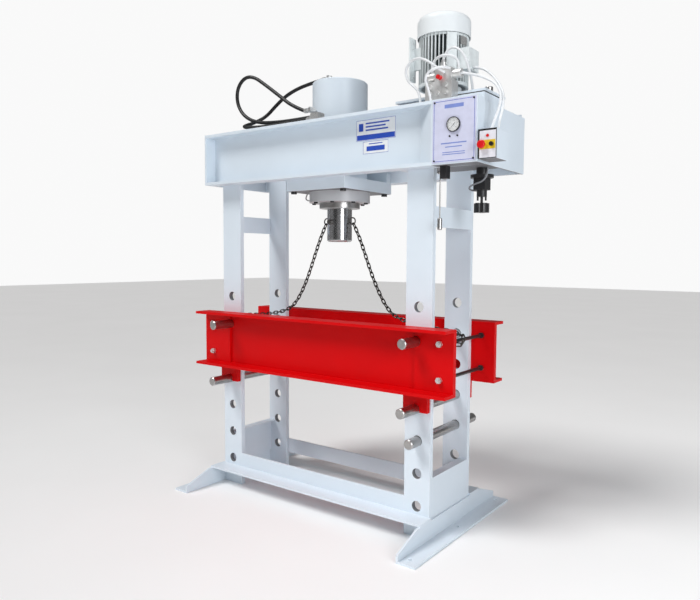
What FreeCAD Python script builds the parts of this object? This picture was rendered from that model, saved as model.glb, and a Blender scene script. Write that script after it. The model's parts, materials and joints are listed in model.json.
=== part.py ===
"""Hydraulic workshop press: an H-frame of four flat uprights, a head of two channel beams that
carries a bolted cylinder, a height-adjustable table on cross pins, a tank with a vertical
motor-pump set at the right end, and the hoses, chains and controls that go with them.

Millimetres. X runs along the beams (controls at +X), Y from front (-) to back (+), Z is up.
The origin lies on the floor, midway between the four uprights.
"""

import FreeCAD, Part
import math
import os

V = FreeCAD.Vector

# ---------------------------------------------------------------- frame
UPRIGHT_WIDTH = 160.0
UPRIGHT_THICKNESS = 30.0
UPRIGHT_SPREAD = 714.0          # from the middle to an upright's centre line
FRAME_DEPTH = 460.0             # over the outer faces of front and back uprights
PIN_HOLE_BORE = 58.0
PIN_HOLE_PITCH = 180.0
PIN_HOLE_COUNT = 7
LOWEST_PIN_HOLE = 169.0
PLATE = 12.0                    # stock of the cross plates, base rails and feet

# ---------------------------------------------------------------- head
HEAD_TOP = 2290.0
HEAD_HEIGHT = 320.0
HEAD_WEB = 14.0
HEAD_FLANGE = 17.0
HEAD_FLANGE_REACH = 92.0        # from the back of the web to the flange tip
HEAD_LEFT = -864.0
HEAD_RIGHT = 1080.0
HEAD_FLANGE_RIGHT = 828.0       # where the front top and bottom flanges stop
UPRIGHT_TOP_GAP = 14.0          # uprights stop this far below the head's top
RATING_PLATE = 1.0
RATING_PLATES = ((308.0, 566.0, 30.0, 112.0), (356.0, 522.0, 148.0, 66.0))     # left, right, drop, height

# ---------------------------------------------------------------- table
TABLE_TOP = 1145.0
TABLE_HEIGHT = 350.0
TABLE_WEB = 14.0
TABLE_FLANGE = 16.0
TABLE_FLANGE_REACH = 115.0
TABLE_HALF_LENGTH = 940.0
TABLE_CLEARANCE = 1.0           # between the uprights and the table's webs
DOUBLER_LENGTH = 232.0
DOUBLER = 14.0
SADDLE_WIDTH = 150.0
SADDLE_SKIRT = 16.0             # how far a saddle reaches below its pin's axis
TIE_ROD_DIAMETER = 20.0
TIE_ROD_X = 860.0
TIE_ROD_HEIGHTS = (1066.0, 878.0)
TIE_NUT_FLATS = 30.0
TIE_NUT_HEIGHT = 16.0
TIE_ROD_TAIL = 10.0

# ---------------------------------------------------------------- cross pins
PIN_DIAMETER = 55.0
PIN_LENGTH = 750.0
PIN_CHAMFER = 4.0
UPPER_PIN_HOLE = 5              # counted from the lowest hole, starting at 0
LOWER_PIN_HOLE = 3
SPARE_PIN_HOLE = 2
UPPER_PIN_FRONT = -400.0
LOWER_PIN_FRONT = -410.0
SPARE_PIN_FRONT = -325.0

# ---------------------------------------------------------------- cross plates, base and feet
UPPER_CROSS_BOTTOM = 1670.0
UPPER_CROSS_HEIGHT = 108.0
LOWER_CROSS_HEIGHT = 222.0
LOWER_CROSS_LIP = 40.0
BASE_RAIL_RISE = 98.0
BASE_RAIL_REACH = 115.0
FOOT_LENGTH = 1110.0
FOOT_RISE = 112.0
FOOT_REACH = 110.0
FOOT_END_RISE = 44.0
FOOT_SLOPE_START = 367.0
ANCHOR_HOLE = 22.0
ANCHOR_OFFSET = 50.0            # from the outside of the uprights to the anchor holes
ANCHOR_SPACING = 500.0

# ---------------------------------------------------------------- cylinder and ram
MOUNT_PLATE_LENGTH = 440.0
MOUNT_PLATE_DEPTH = 480.0
MOUNT_PLATE = 68.0
BEARER_WIDTH = 40.0
BEARER_HEIGHT = 60.0
MOUNT_BOLT_X = 188.0
MOUNT_BOLT = 24.0
MOUNT_BOLT_HEAD = 14.0
BARREL_OUTER = 336.0
BARREL_BORE = 260.0
BARREL_TOP = 2560.0
BARREL_CAP = 34.0
FLANGE_DIAMETER = 372.0
FLANGE_THICKNESS = 62.0
FLANGE_BOLT_CIRCLE = 330.0
FLANGE_BOLT = 16.0
FLANGE_BOLT_COUNT = 8
GLAND_DIAMETER = 248.0
GLAND_THICKNESS = 34.0
RAM_DIAMETER = 152.0
RAM_BOTTOM = 1603.0
RAM_STROKE = 380.0
NOSE_HEIGHT = 62.0
NOSE_ROUND = 12.0
NOSE_SPIGOT = 60.0
GROOVE_RISE = 34.0              # from the nose joint up to the ram's groove
GROOVE_WIDTH = 5.0
GROOVE_DEPTH = 3.0
PISTON_HEIGHT = 110.0
PISTON_GAP = 10.0               # above the piston at the top of the stroke
EYE_RISE = 64.0                 # from the nose joint up to the chain eyes
EYE_RING = 20.0
EYE_WIRE = 8.0
EYE_SHANK = 12.0
EYE_SHANK_DEPTH = 20.0          # how far the shank reaches into the ram
EYE_COLLAR = 4.0                # shank left outside the ram
SLIDE_FIT = 0.05                # radial clearance of ram and piston

# ---------------------------------------------------------------- chains
CHAIN_WIRE = 7.0
CHAIN_INNER = 30.0
CHAIN_INNER_WIDTH = 11.0
CHAIN_SLACK = 0.4
CHAIN_WRAP_GAP = 1.0
CHAIN_WRAP_DRIFT = 64.0         # sideways travel for each full turn round the rod
CHAIN_WRAP_TURNS = 0.8

# ---------------------------------------------------------------- tank, control box and panel
SHEET = 4.0
BEVEL_WEB_X = 719.0             # where the bevelled sheet leaves the front web
BOX_LEFT = 828.0
PANEL_WIDTH = 236.0
PANEL_HEIGHT = 306.0
PANEL_SHEET = 3.0
PANEL_SCREW_INSET = 11.0
PANEL_SCREW_HEAD = 9.0
GAUGE_DIAMETER = 72.0
GAUGE_RIM = 3.0                 # width of the bezel's front ring
GAUGE_CASE_INSET = 2.5          # case is this much smaller in radius than the bezel
GAUGE_RISE = 28.0               # gauge centre above the panel's centre
GAUGE_BEZEL = 10.0
GAUGE_CASE_DEPTH = 46.0
NEEDLE_STANDOFF = 4.5           # needle's front face from the panel's front
NEEDLE_THICKNESS = 2.0
NEEDLE_BOSS = 8.0
NEEDLE_TAIL = 12.0
NEEDLE_TAIL_WIDTH = 4.0
NEEDLE_TIP_WIDTH = 1.2
GAUGE_SCREW_SPREAD = 21.0
GAUGE_SCREW_DROP = 55.0
TANK_LEFT = 560.0
TANK_DEPTH = 228.0
TANK_WALL = 5.0
TANK_CLEARANCE = 2.0            # between the tank and the upright it passes
TANK_TOP = 2320.0
TANK_BOTTOM = 1976.0
GASKET = 5.0
LID = 12.0
LID_OVERHANG = 7.0
FILLER_DIAMETER = 42.0

# ---------------------------------------------------------------- motor and pump
MOTOR_X = 770.0
MOTOR_Y = -100.0
BELLHOUSING_HEIGHT = 60.0
BELLHOUSING_DIAMETER = 190.0
MOTOR_LENGTH = 262.0
MOTOR_CORE = 108.0
MOTOR_FIN_RADIUS = 131.0
MOTOR_STRIP_BEARING = -43.0     # degrees round from +X to the plain strip between the fins
MOTOR_STRIP_WIDTH = 52.0
MOTOR_FIN_COUNT = 40
TERMINAL_BOX = 108.0            # its height and depth
TERMINAL_BOX_REACH = 176.0      # its outer face from the motor's axis
TERMINAL_BOX_RISE = 70.0
MOTOR_FIN = 4.0
MOTOR_WALL = 14.0
ROTOR_RADIUS = 66.0
SHAFT_DIAMETER = 38.0
FAN_COVER_RADIUS = 140.0
FAN_COVER_HEIGHT = 104.0
FAN_COVER_LAP = 6.0
FAN_COVER_WALL = 3.0
FAN_COVER_ROUND = 36.0
FAN_RADIUS = 104.0
FAN_BLADES = 7
FOOT_PAD_OFFSET = 132.0         # shaft height over the motor's foot pads
FOOT_PAD_THICKNESS = 9.0
FOOT_PAD_SPREAD = 216.0
FOOT_PAD_WIDTH = 58.0
FOOT_PAD_LENGTH = 222.0
FOOT_PAD_HOLE = 12.0
PUMP_DIAMETER = 104.0
PUMP_HEIGHT = 170.0
RUN_FIT = 0.05                  # radial clearance of shafts and spindles
BODY_GAP = 0.4                  # between faces of pieces that move past each other

# ---------------------------------------------------------------- manifold
MANIFOLD_LEFT = 775.0
MANIFOLD_LENGTH = 150.0
MANIFOLD_DEPTH = 66.0
MANIFOLD_HEIGHT = 96.0
VALVE_HEIGHT = 62.0
SOLENOID_RADIUS = 22.0
SOLENOID_LENGTH = 46.0
CARTRIDGE_RADIUS = 11.0
CARTRIDGE_LENGTH = 26.0
PORT_PLUG_FLATS = 22.0
PORT_PLUG_HEIGHT = 10.0
PORT_PLUG_PLACES = ((25, 40), (25, 74), (71, 40), (117, 40), (117, 74))   # from the block's lower left corner

# ---------------------------------------------------------------- switch box
SWITCH_STANDOFF = 10.0
SWITCH_WIDTH = 96.0
SWITCH_DEPTH = 124.0
SWITCH_HEIGHT = 140.0
SWITCH_BOTTOM = 1978.0
SWITCH_FRONT_LEAD = 10.0        # how far it stands forward of the control box
SWITCH_SEAL = 3.0
SWITCH_PLATE = 2.0
ESTOP_RADIUS = 20.0
ESTOP_STEM = 11.0
ESTOP_TRAVEL = 5.0
SELECTOR_RADIUS = 10.0
LAMP_RADIUS = 7.0

# ---------------------------------------------------------------- hand lever and creep valve
LEVER_X = 880.0
LEVER_Y = -268.0
LEVER_BODY_WIDTH = 36.0
LEVER_BODY_DEPTH = 42.0
LEVER_BODY_HEIGHT = 64.0
LEVER_PIVOT_DROP = 30.0
LEVER_PIN = 8.0
LEVER_ROD = 7.0
LEVER_LENGTH = 290.0
LEVER_GRIP_LENGTH = 62.0
LEVER_GRIP_DIAMETER = 24.0
CREEP_X = 984.0
CREEP_Y = -60.0
CREEP_NECK = 30.0
CREEP_DISC_RADIUS = 60.0
CREEP_DISC = 16.0
CREEP_BODY = 66.0
CREEP_BODY_HEIGHT = 96.0
CREEP_SPINDLE = 14.0
CREEP_SPINDLE_LENGTH = 44.0
CREEP_KNOB_RADIUS = 40.0
CREEP_KNOB_HEIGHT = 58.0
CREEP_LOBES = 5

# ---------------------------------------------------------------- hoses and pipes
PRESSURE_HOSE = 22.0
CONDUIT = 13.0
CONTROL_HOSE = 9.0
BLEED_PIPE = 8.0
STEEL_PIPE = 12.0
UNION_X = 4.0                   # left face of the union block on the head's top flange

# Each hose's route, chosen by hand, from its upper or outer end.
PRESSURE_HOSE_ROUTES = {
    "pressure_hose_upper": ((-82, -70, 2582), (-230, -64, 2574), (-380, -60, 2538), (-480, -58, 2482),
                            (-564, -62, 2420), (-614, -118, 2378), (-616, -200, 2346), (-568, -258, 2322),
                            (-488, -268, 2310), (-400, -264, 2304), (-260, -268, 2303), (-140, -264, 2305),
                            (-38, -264, 2307)),
    "pressure_hose_lower": ((-125.4, -181.7, 2382), (-220, -186, 2420), (-330, -190, 2500),
                            (-440, -194, 2578),
                            (-536, -198, 2642), (-616, -202, 2650), (-678, -206, 2592), (-680, -210, 2502),
                            (-630, -216, 2424), (-548, -224, 2370), (-440, -232, 2338), (-300, -236, 2326),
                            (-160, -238, 2322), (-38, -238, 2324)),
}
CONTROL_HOSE_POINTS = (
    (1046, -122, 1970), (1046, -128, 1928), (1022, -134, 1898), (982, -134, 1888), (946, -122, 1878),
    (926, -92, 1868), (930, -60, 1862), (951, -44, 1862),
)
SWITCH_CONDUIT_ROUTES = (
    ((946, -112, 2478), (1000, -130, 2468), (1066, -166, 2424), (1126, -196, 2364), (1164, -214, 2296),
     (1168, -228, 2228), (1154, -236, 2170), (1148, -238, 2118)),
    ((963, -263, 2417), (1022, -256, 2402), (1084, -250, 2378), (1140, -252, 2342), (1172, -260, 2286),
     (1166, -266, 2222), (1142, -268, 2166), (1128, -270, 2118)),
)
VALVE_CONDUIT_ROUTES = {
    "valve_conduit_left": (
        ((880, -292, 2425), (868, -334, 2438), (818, -346, 2478), (756, -330, 2508),
         (694, -312, 2504), (656, -300, 2466), (670, -292, 2410), (716, -292, 2374),
         (742, -292, 2336), (744, -290, 2290)),
        ((910, -292, 2440), (906, -332, 2440), (866, -354, 2434), (820, -352, 2420), (798, -338, 2392),
         (804, -326, 2362), (814, -320, 2328), (818, -312, 2290)),
    ),
    "valve_conduit_right": (
        ((859, -263, 2496), (876, -268, 2536), (920, -274, 2548), (966, -276, 2520),
         (990, -268, 2470), (994, -240, 2420), (990, -206, 2378), (988, -190, 2337)),
        ((800, -263, 2439), (796, -268, 2472), (822, -284, 2500), (876, -298, 2510), (930, -288, 2498),
         (950, -268, 2470), (944, -263, 2439)),
    ),
}

# ---------------------------------------------------------------- places that follow from these
OUTER_Y = FRAME_DEPTH / 2
INNER_Y = OUTER_Y - UPRIGHT_THICKNESS
OUTER_X = UPRIGHT_SPREAD + UPRIGHT_WIDTH / 2
INNER_X = UPRIGHT_SPREAD - UPRIGHT_WIDTH / 2
HEAD_BOTTOM = HEAD_TOP - HEAD_HEIGHT
HEAD_WEB_Y = OUTER_Y + HEAD_WEB
HEAD_FRONT_Y = OUTER_Y + HEAD_FLANGE_REACH
TABLE_BOTTOM = TABLE_TOP - TABLE_HEIGHT
TABLE_INNER_Y = OUTER_Y + TABLE_CLEARANCE
TABLE_WEB_Y = TABLE_INNER_Y + TABLE_WEB
TABLE_FRONT_Y = TABLE_INNER_Y + TABLE_FLANGE_REACH
SEAT_GAP = 0.05                 # left under every pin so that seats only just touch
PIN_DROP = (PIN_HOLE_BORE - PIN_DIAMETER) / 2 - SEAT_GAP
MOUNT_PLATE_BOTTOM = HEAD_BOTTOM - MOUNT_PLATE
FLANGE_BOTTOM = MOUNT_PLATE_BOTTOM - FLANGE_THICKNESS
GLAND_BOTTOM = FLANGE_BOTTOM - GLAND_THICKNESS
NOSE_TOP = RAM_BOTTOM + NOSE_HEIGHT
EYE_HEIGHT = NOSE_TOP + EYE_RISE
PISTON_TOP = BARREL_TOP - BARREL_CAP - PISTON_GAP
LID_BOTTOM = TANK_TOP + GASKET
LID_TOP = LID_BOTTOM + LID
TANK_RIGHT = HEAD_RIGHT - PLATE
TANK_FRONT = -(OUTER_Y - TANK_CLEARANCE)
TANK_BACK = TANK_FRONT + TANK_DEPTH
MOTOR_BOTTOM = LID_TOP + BELLHOUSING_HEIGHT
MOTOR_TOP = MOTOR_BOTTOM + MOTOR_LENGTH
PANEL_X = (BOX_LEFT + HEAD_RIGHT) / 2 + 2
PANEL_Z = HEAD_TOP - HEAD_HEIGHT / 2
PANEL_FACE_Y = -(HEAD_FRONT_Y + PANEL_SHEET)
GAUGE_Z = PANEL_Z + GAUGE_RISE


# ---------------------------------------------------------------- helpers
def box(x0, x1, y0, y1, z0, z1):
    return Part.makeBox(x1 - x0, y1 - y0, z1 - z0, V(x0, y0, z0))


def rod(radius, start, end):
    """A round bar from start to end."""
    run = end - start
    return Part.makeCylinder(radius, run.Length, start, run)


def upright_rod(radius, x, y, z0, z1):
    return rod(radius, V(x, y, z0), V(x, y, z1))


def cross_rod(radius, x, z, y0, y1):
    return rod(radius, V(x, y0, z), V(x, y1, z))


def prism(points, travel):
    """A closed outline of points, swept straight along travel."""
    outline = Part.makePolygon(points + [points[0]])
    return Part.Face(outline).extrude(travel)


def hexagon(across_flats, start, axis, height):
    """A hexagonal nut or bolt head standing on start, along axis."""
    radius = across_flats / math.sqrt(3)
    turn = FreeCAD.Rotation(V(0, 0, 1), axis)
    points = []
    for k in range(6):
        angle = math.radians(60 * k)
        points.append(start + turn.multVec(V(radius * math.cos(angle), radius * math.sin(angle), 0)))
    return prism(points, axis * (height / axis.Length))


def mirrored_x(shape):
    return shape.mirror(V(0, 0, 0), V(1, 0, 0))


def mirrored_y(shape):
    return shape.mirror(V(0, 0, 0), V(0, 1, 0))


def fused(shapes):
    return shapes[0].multiFuse(shapes[1:]).removeSplitter()


def save(name, shapes):
    """Writes one node: one or more closed solids."""
    solids = []
    for shape in shapes:
        solids.extend(shape.Solids)
    Part.makeCompound(solids).exportStep(f"parts/{name}.step")


def corner_arc(before, corner, after):
    """Tangent points and middle of the arc that rounds one corner, and its radius."""
    into = (before - corner).normalize()
    out = (after - corner).normalize()
    turn = math.pi - into.getAngle(out)
    shorter = min((before - corner).Length, (after - corner).Length)
    reach = 0.45 * shorter
    radius = reach / math.tan(turn / 2)
    bisector = (into + out).normalize()
    centre_distance = math.hypot(reach, radius)
    middle = corner + bisector * (centre_distance - radius)
    return corner + into * reach, middle, corner + out * reach, radius


def hose(name, points, diameter, seats=()):
    """A round tube along straight runs that tangent arcs join, trimmed where it meets its seats."""
    edges = []
    radii = []
    start = points[0]
    for before, corner, after in zip(points, points[1:], points[2:]):
        arc_start, arc_middle, arc_end, radius = corner_arc(before, corner, after)
        edges.append(Part.makeLine(start, arc_start))
        edges.append(Part.Arc(arc_start, arc_middle, arc_end).toShape())
        radii.append(radius)
        start = arc_end
    edges.append(Part.makeLine(start, points[-1]))
    path = Part.Wire(edges)
    section = Part.Wire([Part.makeCircle(diameter / 2, points[0], points[1] - points[0])])
    tube = path.makePipeShell([section], True, False)
    wanted = math.pi * diameter ** 2 / 4 * path.Length
    print(f"{name}: {path.Length:.0f} mm long, smallest arc {min(radii):.0f} mm, "
          f"volume {tube.Volume / wanted:.3f} of section times length")
    for seat in seats:
        tube = tube.cut(seat)
    return tube


# ---------------------------------------------------------------- frame
def hole_height(index):
    return LOWEST_PIN_HOLE + index * PIN_HOLE_PITCH


def pin_height(index):
    """A pin lies on the bottom of its hole."""
    return hole_height(index) - PIN_DROP


def upright(side_x, side_y):
    top = HEAD_TOP - UPRIGHT_TOP_GAP
    inner = min(side_y * INNER_Y, side_y * OUTER_Y)
    x = side_x * UPRIGHT_SPREAD
    plate = box(x - UPRIGHT_WIDTH / 2, x + UPRIGHT_WIDTH / 2, inner, inner + UPRIGHT_THICKNESS, 0, top)
    for index in range(PIN_HOLE_COUNT):
        bore = cross_rod(PIN_HOLE_BORE / 2, x, hole_height(index), inner - 5, inner + UPRIGHT_THICKNESS + 5)
        plate = plate.cut(bore)
    return plate


def upper_cross_plate():
    top = UPPER_CROSS_BOTTOM + UPPER_CROSS_HEIGHT
    return box(OUTER_X - PLATE, OUTER_X, -INNER_Y, INNER_Y, UPPER_CROSS_BOTTOM, top)


def lower_cross_plate():
    top = FOOT_RISE + LOWER_CROSS_HEIGHT
    web = box(OUTER_X - PLATE, OUTER_X, -INNER_Y, INNER_Y, FOOT_RISE, top)
    lip = box(OUTER_X - PLATE - LOWER_CROSS_LIP, OUTER_X, -INNER_Y, INNER_Y, top - PLATE, top)
    return fused([web, lip])


def base_rail():
    """Front rail: a wall between the uprights and a ledge in front of them."""
    length = OUTER_X + PLATE
    ledge = box(-length, length, -OUTER_Y - BASE_RAIL_REACH, -OUTER_Y, FOOT_RISE, FOOT_RISE + PLATE)
    wall = box(-INNER_X, INNER_X, -OUTER_Y, -OUTER_Y + PLATE, FOOT_RISE, FOOT_RISE + BASE_RAIL_RISE)
    return fused([ledge, wall])


def foot():
    """Right foot: an angle along Y whose standing leg slopes down at both ends."""
    half = FOOT_LENGTH / 2
    outline = [V(OUTER_X, -half, 0), V(OUTER_X, half, 0), V(OUTER_X, half, FOOT_END_RISE),
               V(OUTER_X, FOOT_SLOPE_START, FOOT_RISE), V(OUTER_X, -FOOT_SLOPE_START, FOOT_RISE),
               V(OUTER_X, -half, FOOT_END_RISE)]
    standing = prism(outline, V(PLATE, 0, 0))
    lying = box(OUTER_X, OUTER_X + FOOT_REACH, -half, half, 0, PLATE)
    angle = fused([standing, lying])
    for step in (-1, 0, 1):
        y = step * ANCHOR_SPACING
        angle = angle.cut(upright_rod(ANCHOR_HOLE / 2, OUTER_X + ANCHOR_OFFSET, y, -5, PLATE + 5))
    return angle


def build_frame():
    for side_x, x_name in ((-1, "left"), (1, "right")):
        for side_y, y_name in ((-1, "front"), (1, "back")):
            save(f"upright_{y_name}_{x_name}", [upright(side_x, side_y)])
    upper = upper_cross_plate()
    lower = lower_cross_plate()
    save("cross_plates", [upper, mirrored_x(upper), lower, mirrored_x(lower)])
    save("base_rails", [base_rail(), mirrored_y(base_rail())])
    save("feet", [foot(), mirrored_x(foot())])


# ---------------------------------------------------------------- head
def head_beam_front():
    right = TANK_RIGHT
    web = box(HEAD_LEFT + PLATE, right, -HEAD_WEB_Y, -OUTER_Y, HEAD_BOTTOM, HEAD_TOP)
    top = box(HEAD_LEFT + PLATE, HEAD_FLANGE_RIGHT, -HEAD_FRONT_Y, -OUTER_Y, HEAD_TOP - HEAD_FLANGE, HEAD_TOP)
    bottom = top.translated(V(0, 0, HEAD_FLANGE - HEAD_HEIGHT))
    return fused([web, top, bottom])


def head_end_left():
    return box(HEAD_LEFT, HEAD_LEFT + PLATE, -HEAD_FRONT_Y, HEAD_FRONT_Y, HEAD_BOTTOM, HEAD_TOP)


def head_end_right():
    """Closes the head behind the control box, with the tank's end wall showing above it."""
    back = HEAD_WEB_Y + PLATE
    return box(TANK_RIGHT, HEAD_RIGHT, -HEAD_WEB_Y, back, HEAD_BOTTOM, HEAD_TOP - HEAD_FLANGE)


def bearer():
    """Bearer bar welded inside the front beam, which the cylinder's mounting plate is bolted to."""
    half = MOUNT_PLATE_LENGTH / 2
    bar = box(-half, half, -OUTER_Y, -OUTER_Y + BEARER_WIDTH, HEAD_BOTTOM, HEAD_BOTTOM + BEARER_HEIGHT)
    for x in (-MOUNT_BOLT_X, MOUNT_BOLT_X):
        bar = bar.cut(mount_bolt_shank(x, -mount_bolt_y()))
    return bar


def label_plates():
    """Two blank rating plates on the front web."""
    face = -HEAD_WEB_Y
    plates = []
    for left, right, drop, height in RATING_PLATES:
        top = HEAD_TOP - drop
        plates.append(box(left, right, face - RATING_PLATE, face, top - height, top))
    return plates


def build_head():
    front = fused([head_beam_front(), bearer()])
    save("head_beam_front", [front])
    save("head_beam_back", [mirrored_y(front)])
    save("head_end_plates", [head_end_left(), head_end_right()])
    save("label_plates", label_plates())


# ---------------------------------------------------------------- cylinder and ram
def mount_bolt_y():
    return OUTER_Y - BEARER_WIDTH / 2


def mount_bolt_shank(x, y):
    top = HEAD_BOTTOM + BEARER_HEIGHT - 12
    return upright_rod(MOUNT_BOLT / 2, x, y, MOUNT_PLATE_BOTTOM, top)


def mount_bolts():
    bolts = []
    for x in (-MOUNT_BOLT_X, MOUNT_BOLT_X):
        for y in (-mount_bolt_y(), mount_bolt_y()):
            head = upright_rod(MOUNT_BOLT * 0.75, x, y, MOUNT_PLATE_BOTTOM - MOUNT_BOLT_HEAD,
                               MOUNT_PLATE_BOTTOM)
            bolts.append(fused([head, mount_bolt_shank(x, y)]))
    return bolts


def mount_plate():
    half_x = MOUNT_PLATE_LENGTH / 2
    half_y = MOUNT_PLATE_DEPTH / 2
    plate = box(-half_x, half_x, -half_y, half_y, MOUNT_PLATE_BOTTOM, HEAD_BOTTOM)
    plate = plate.cut(upright_rod(BARREL_OUTER / 2, 0, 0, MOUNT_PLATE_BOTTOM - 1, HEAD_BOTTOM + 1))
    for x in (-MOUNT_BOLT_X, MOUNT_BOLT_X):
        for y in (-mount_bolt_y(), mount_bolt_y()):
            plate = plate.cut(mount_bolt_shank(x, y))
    return plate


def barrel():
    """Cylinder barrel with its closed top, and bosses for the two ports."""
    body = upright_rod(BARREL_OUTER / 2, 0, 0, MOUNT_PLATE_BOTTOM, BARREL_TOP)
    body = body.makeChamfer(6, [edge for edge in body.Edges if edge.BoundBox.ZMin > BARREL_TOP - 1])
    body = body.cut(upright_rod(BARREL_BORE / 2, 0, 0, MOUNT_PLATE_BOTTOM - 1, BARREL_TOP - BARREL_CAP))
    return body


def flange_bolt_places():
    places = []
    for k in range(FLANGE_BOLT_COUNT):
        angle = math.radians(360 / FLANGE_BOLT_COUNT * (k + 0.5))
        places.append((FLANGE_BOLT_CIRCLE / 2 * math.cos(angle), FLANGE_BOLT_CIRCLE / 2 * math.sin(angle)))
    return places


def cylinder_flange():
    """Bolted lower head of the cylinder, which guides the ram."""
    body = upright_rod(FLANGE_DIAMETER / 2, 0, 0, FLANGE_BOTTOM, MOUNT_PLATE_BOTTOM)
    bore = RAM_DIAMETER / 2 + SLIDE_FIT
    body = body.cut(upright_rod(bore, 0, 0, FLANGE_BOTTOM - 1, MOUNT_PLATE_BOTTOM + 1))
    for x, y in flange_bolt_places():
        body = body.cut(upright_rod(FLANGE_BOLT / 2, x, y, FLANGE_BOTTOM - 1, MOUNT_PLATE_BOTTOM + 1))
    return body


def flange_bolts():
    bolts = []
    for x, y in flange_bolt_places():
        shank = upright_rod(FLANGE_BOLT / 2, x, y, FLANGE_BOTTOM, MOUNT_PLATE_BOTTOM)
        head = upright_rod(FLANGE_BOLT * 0.75, x, y, FLANGE_BOTTOM - FLANGE_BOLT / 2, FLANGE_BOTTOM)
        bolts.append(fused([shank, head]))
    return bolts


def gland_ring():
    ring = upright_rod(GLAND_DIAMETER / 2, 0, 0, GLAND_BOTTOM, FLANGE_BOTTOM)
    return ring.cut(upright_rod(RAM_DIAMETER / 2 + SLIDE_FIT, 0, 0, GLAND_BOTTOM - 1, FLANGE_BOTTOM + 1))


def piston():
    disc = upright_rod(BARREL_BORE / 2 - SLIDE_FIT, 0, 0, PISTON_TOP - PISTON_HEIGHT, PISTON_TOP)
    spigot = RAM_DIAMETER / 2 + SEAT_GAP
    return disc.cut(upright_rod(spigot, 0, 0, PISTON_TOP - PISTON_HEIGHT - 1, PISTON_TOP - 20))


def ram():
    bar = upright_rod(RAM_DIAMETER / 2, 0, 0, NOSE_TOP, PISTON_TOP - 20)
    groove_z = NOSE_TOP + GROOVE_RISE
    ring = upright_rod(RAM_DIAMETER / 2 + 1, 0, 0, groove_z, groove_z + GROOVE_WIDTH)
    ring = ring.cut(upright_rod(RAM_DIAMETER / 2 - GROOVE_DEPTH, 0, 0, groove_z - 1,
                                groove_z + GROOVE_WIDTH + 1))
    socket = upright_rod(NOSE_SPIGOT / 2, 0, 0, NOSE_TOP, NOSE_TOP + NOSE_SPIGOT / 2)
    bar = bar.cut(ring).cut(socket)
    for side in (-1, 1):
        bar = bar.cut(eye_shank(side))
    return bar.cut(set_bolt_shank())


def ram_nose():
    """Replaceable pressing piece with a spigot up into the ram."""
    pad = upright_rod(RAM_DIAMETER / 2, 0, 0, RAM_BOTTOM, NOSE_TOP)
    pad = pad.makeFillet(NOSE_ROUND, [edge for edge in pad.Edges if edge.BoundBox.ZMax < RAM_BOTTOM + 1])
    spigot = upright_rod(NOSE_SPIGOT / 2, 0, 0, NOSE_TOP, NOSE_TOP + NOSE_SPIGOT / 2)
    return fused([pad, spigot])


def eye_shank(side):
    start = V(side * (RAM_DIAMETER / 2 - EYE_SHANK_DEPTH), 0, EYE_HEIGHT)
    return rod(EYE_SHANK / 2, start, V(side * (RAM_DIAMETER / 2 + EYE_COLLAR), 0, EYE_HEIGHT))


def eye_ring_x():
    return RAM_DIAMETER / 2 + EYE_COLLAR + EYE_RING


def ring_eye(side):
    """Eye bolt screwed into the side of the ram, its ring standing upright."""
    ring = Part.makeTorus(EYE_RING, EYE_WIRE / 2, V(side * eye_ring_x(), 0, EYE_HEIGHT), V(0, 1, 0))
    return fused([eye_shank(side), ring])


def set_bolt_shank():
    return cross_rod(6, -8, EYE_HEIGHT - 6, -RAM_DIAMETER / 2, -RAM_DIAMETER / 2 + 24)


def set_bolt():
    """Black knurled screw that holds the nose piece's key."""
    head = cross_rod(15, -8, EYE_HEIGHT - 6, -RAM_DIAMETER / 2 - 20, -RAM_DIAMETER / 2 + 0.4)
    ram_bar = upright_rod(RAM_DIAMETER / 2, 0, 0, EYE_HEIGHT - 60, EYE_HEIGHT + 60)
    return fused([head.cut(ram_bar), set_bolt_shank()])


def bleed_pipe():
    """Small pipe from the mounting plate round to the side of the flange."""
    x = -FLANGE_DIAMETER / 2
    top = MOUNT_PLATE_BOTTOM
    points = [V(x - 14, -70, top), V(x - 22, -74, top - 18), V(x - 22, -78, top - 34),
              V(x - 6, -74, top - 44),
              V(x + 16, -66, top - 44)]
    seats = (mount_plate(), upright_rod(FLANGE_DIAMETER / 2, 0, 0, FLANGE_BOTTOM, top))
    return hose("bleed_pipe", points, BLEED_PIPE, seats)


def build_cylinder():
    save("cylinder_mount_plate", [mount_plate()])
    save("cylinder_barrel", [barrel()])
    save("cylinder_flange", [cylinder_flange()])
    save("cylinder_bolts", mount_bolts() + flange_bolts())
    save("gland_ring", [gland_ring()])
    save("piston", [piston()])
    save("ram", [ram()])
    save("ram_nose", [ram_nose()])
    save("ram_eyes", [ring_eye(-1), ring_eye(1), set_bolt()])


# ---------------------------------------------------------------- chains
def chain_link():
    """One link about the origin, lying along X in the XZ plane."""
    bend = (CHAIN_INNER_WIDTH + CHAIN_WIRE) / 2
    straight = (CHAIN_INNER + CHAIN_WIRE) / 2 - bend
    top = Part.makeLine(V(-straight, 0, bend), V(straight, 0, bend))
    right = Part.Arc(V(straight, 0, bend), V(straight + bend, 0, 0), V(straight, 0, -bend)).toShape()
    bottom = Part.makeLine(V(straight, 0, -bend), V(-straight, 0, -bend))
    left = Part.Arc(V(-straight, 0, -bend), V(-straight - bend, 0, 0), V(-straight, 0, bend)).toShape()
    section = Part.Wire([Part.makeCircle(CHAIN_WIRE / 2, V(-straight, 0, bend), V(1, 0, 0))])
    return Part.Wire([top, right, bottom, left]).makePipeShell([section], True, False)


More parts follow.
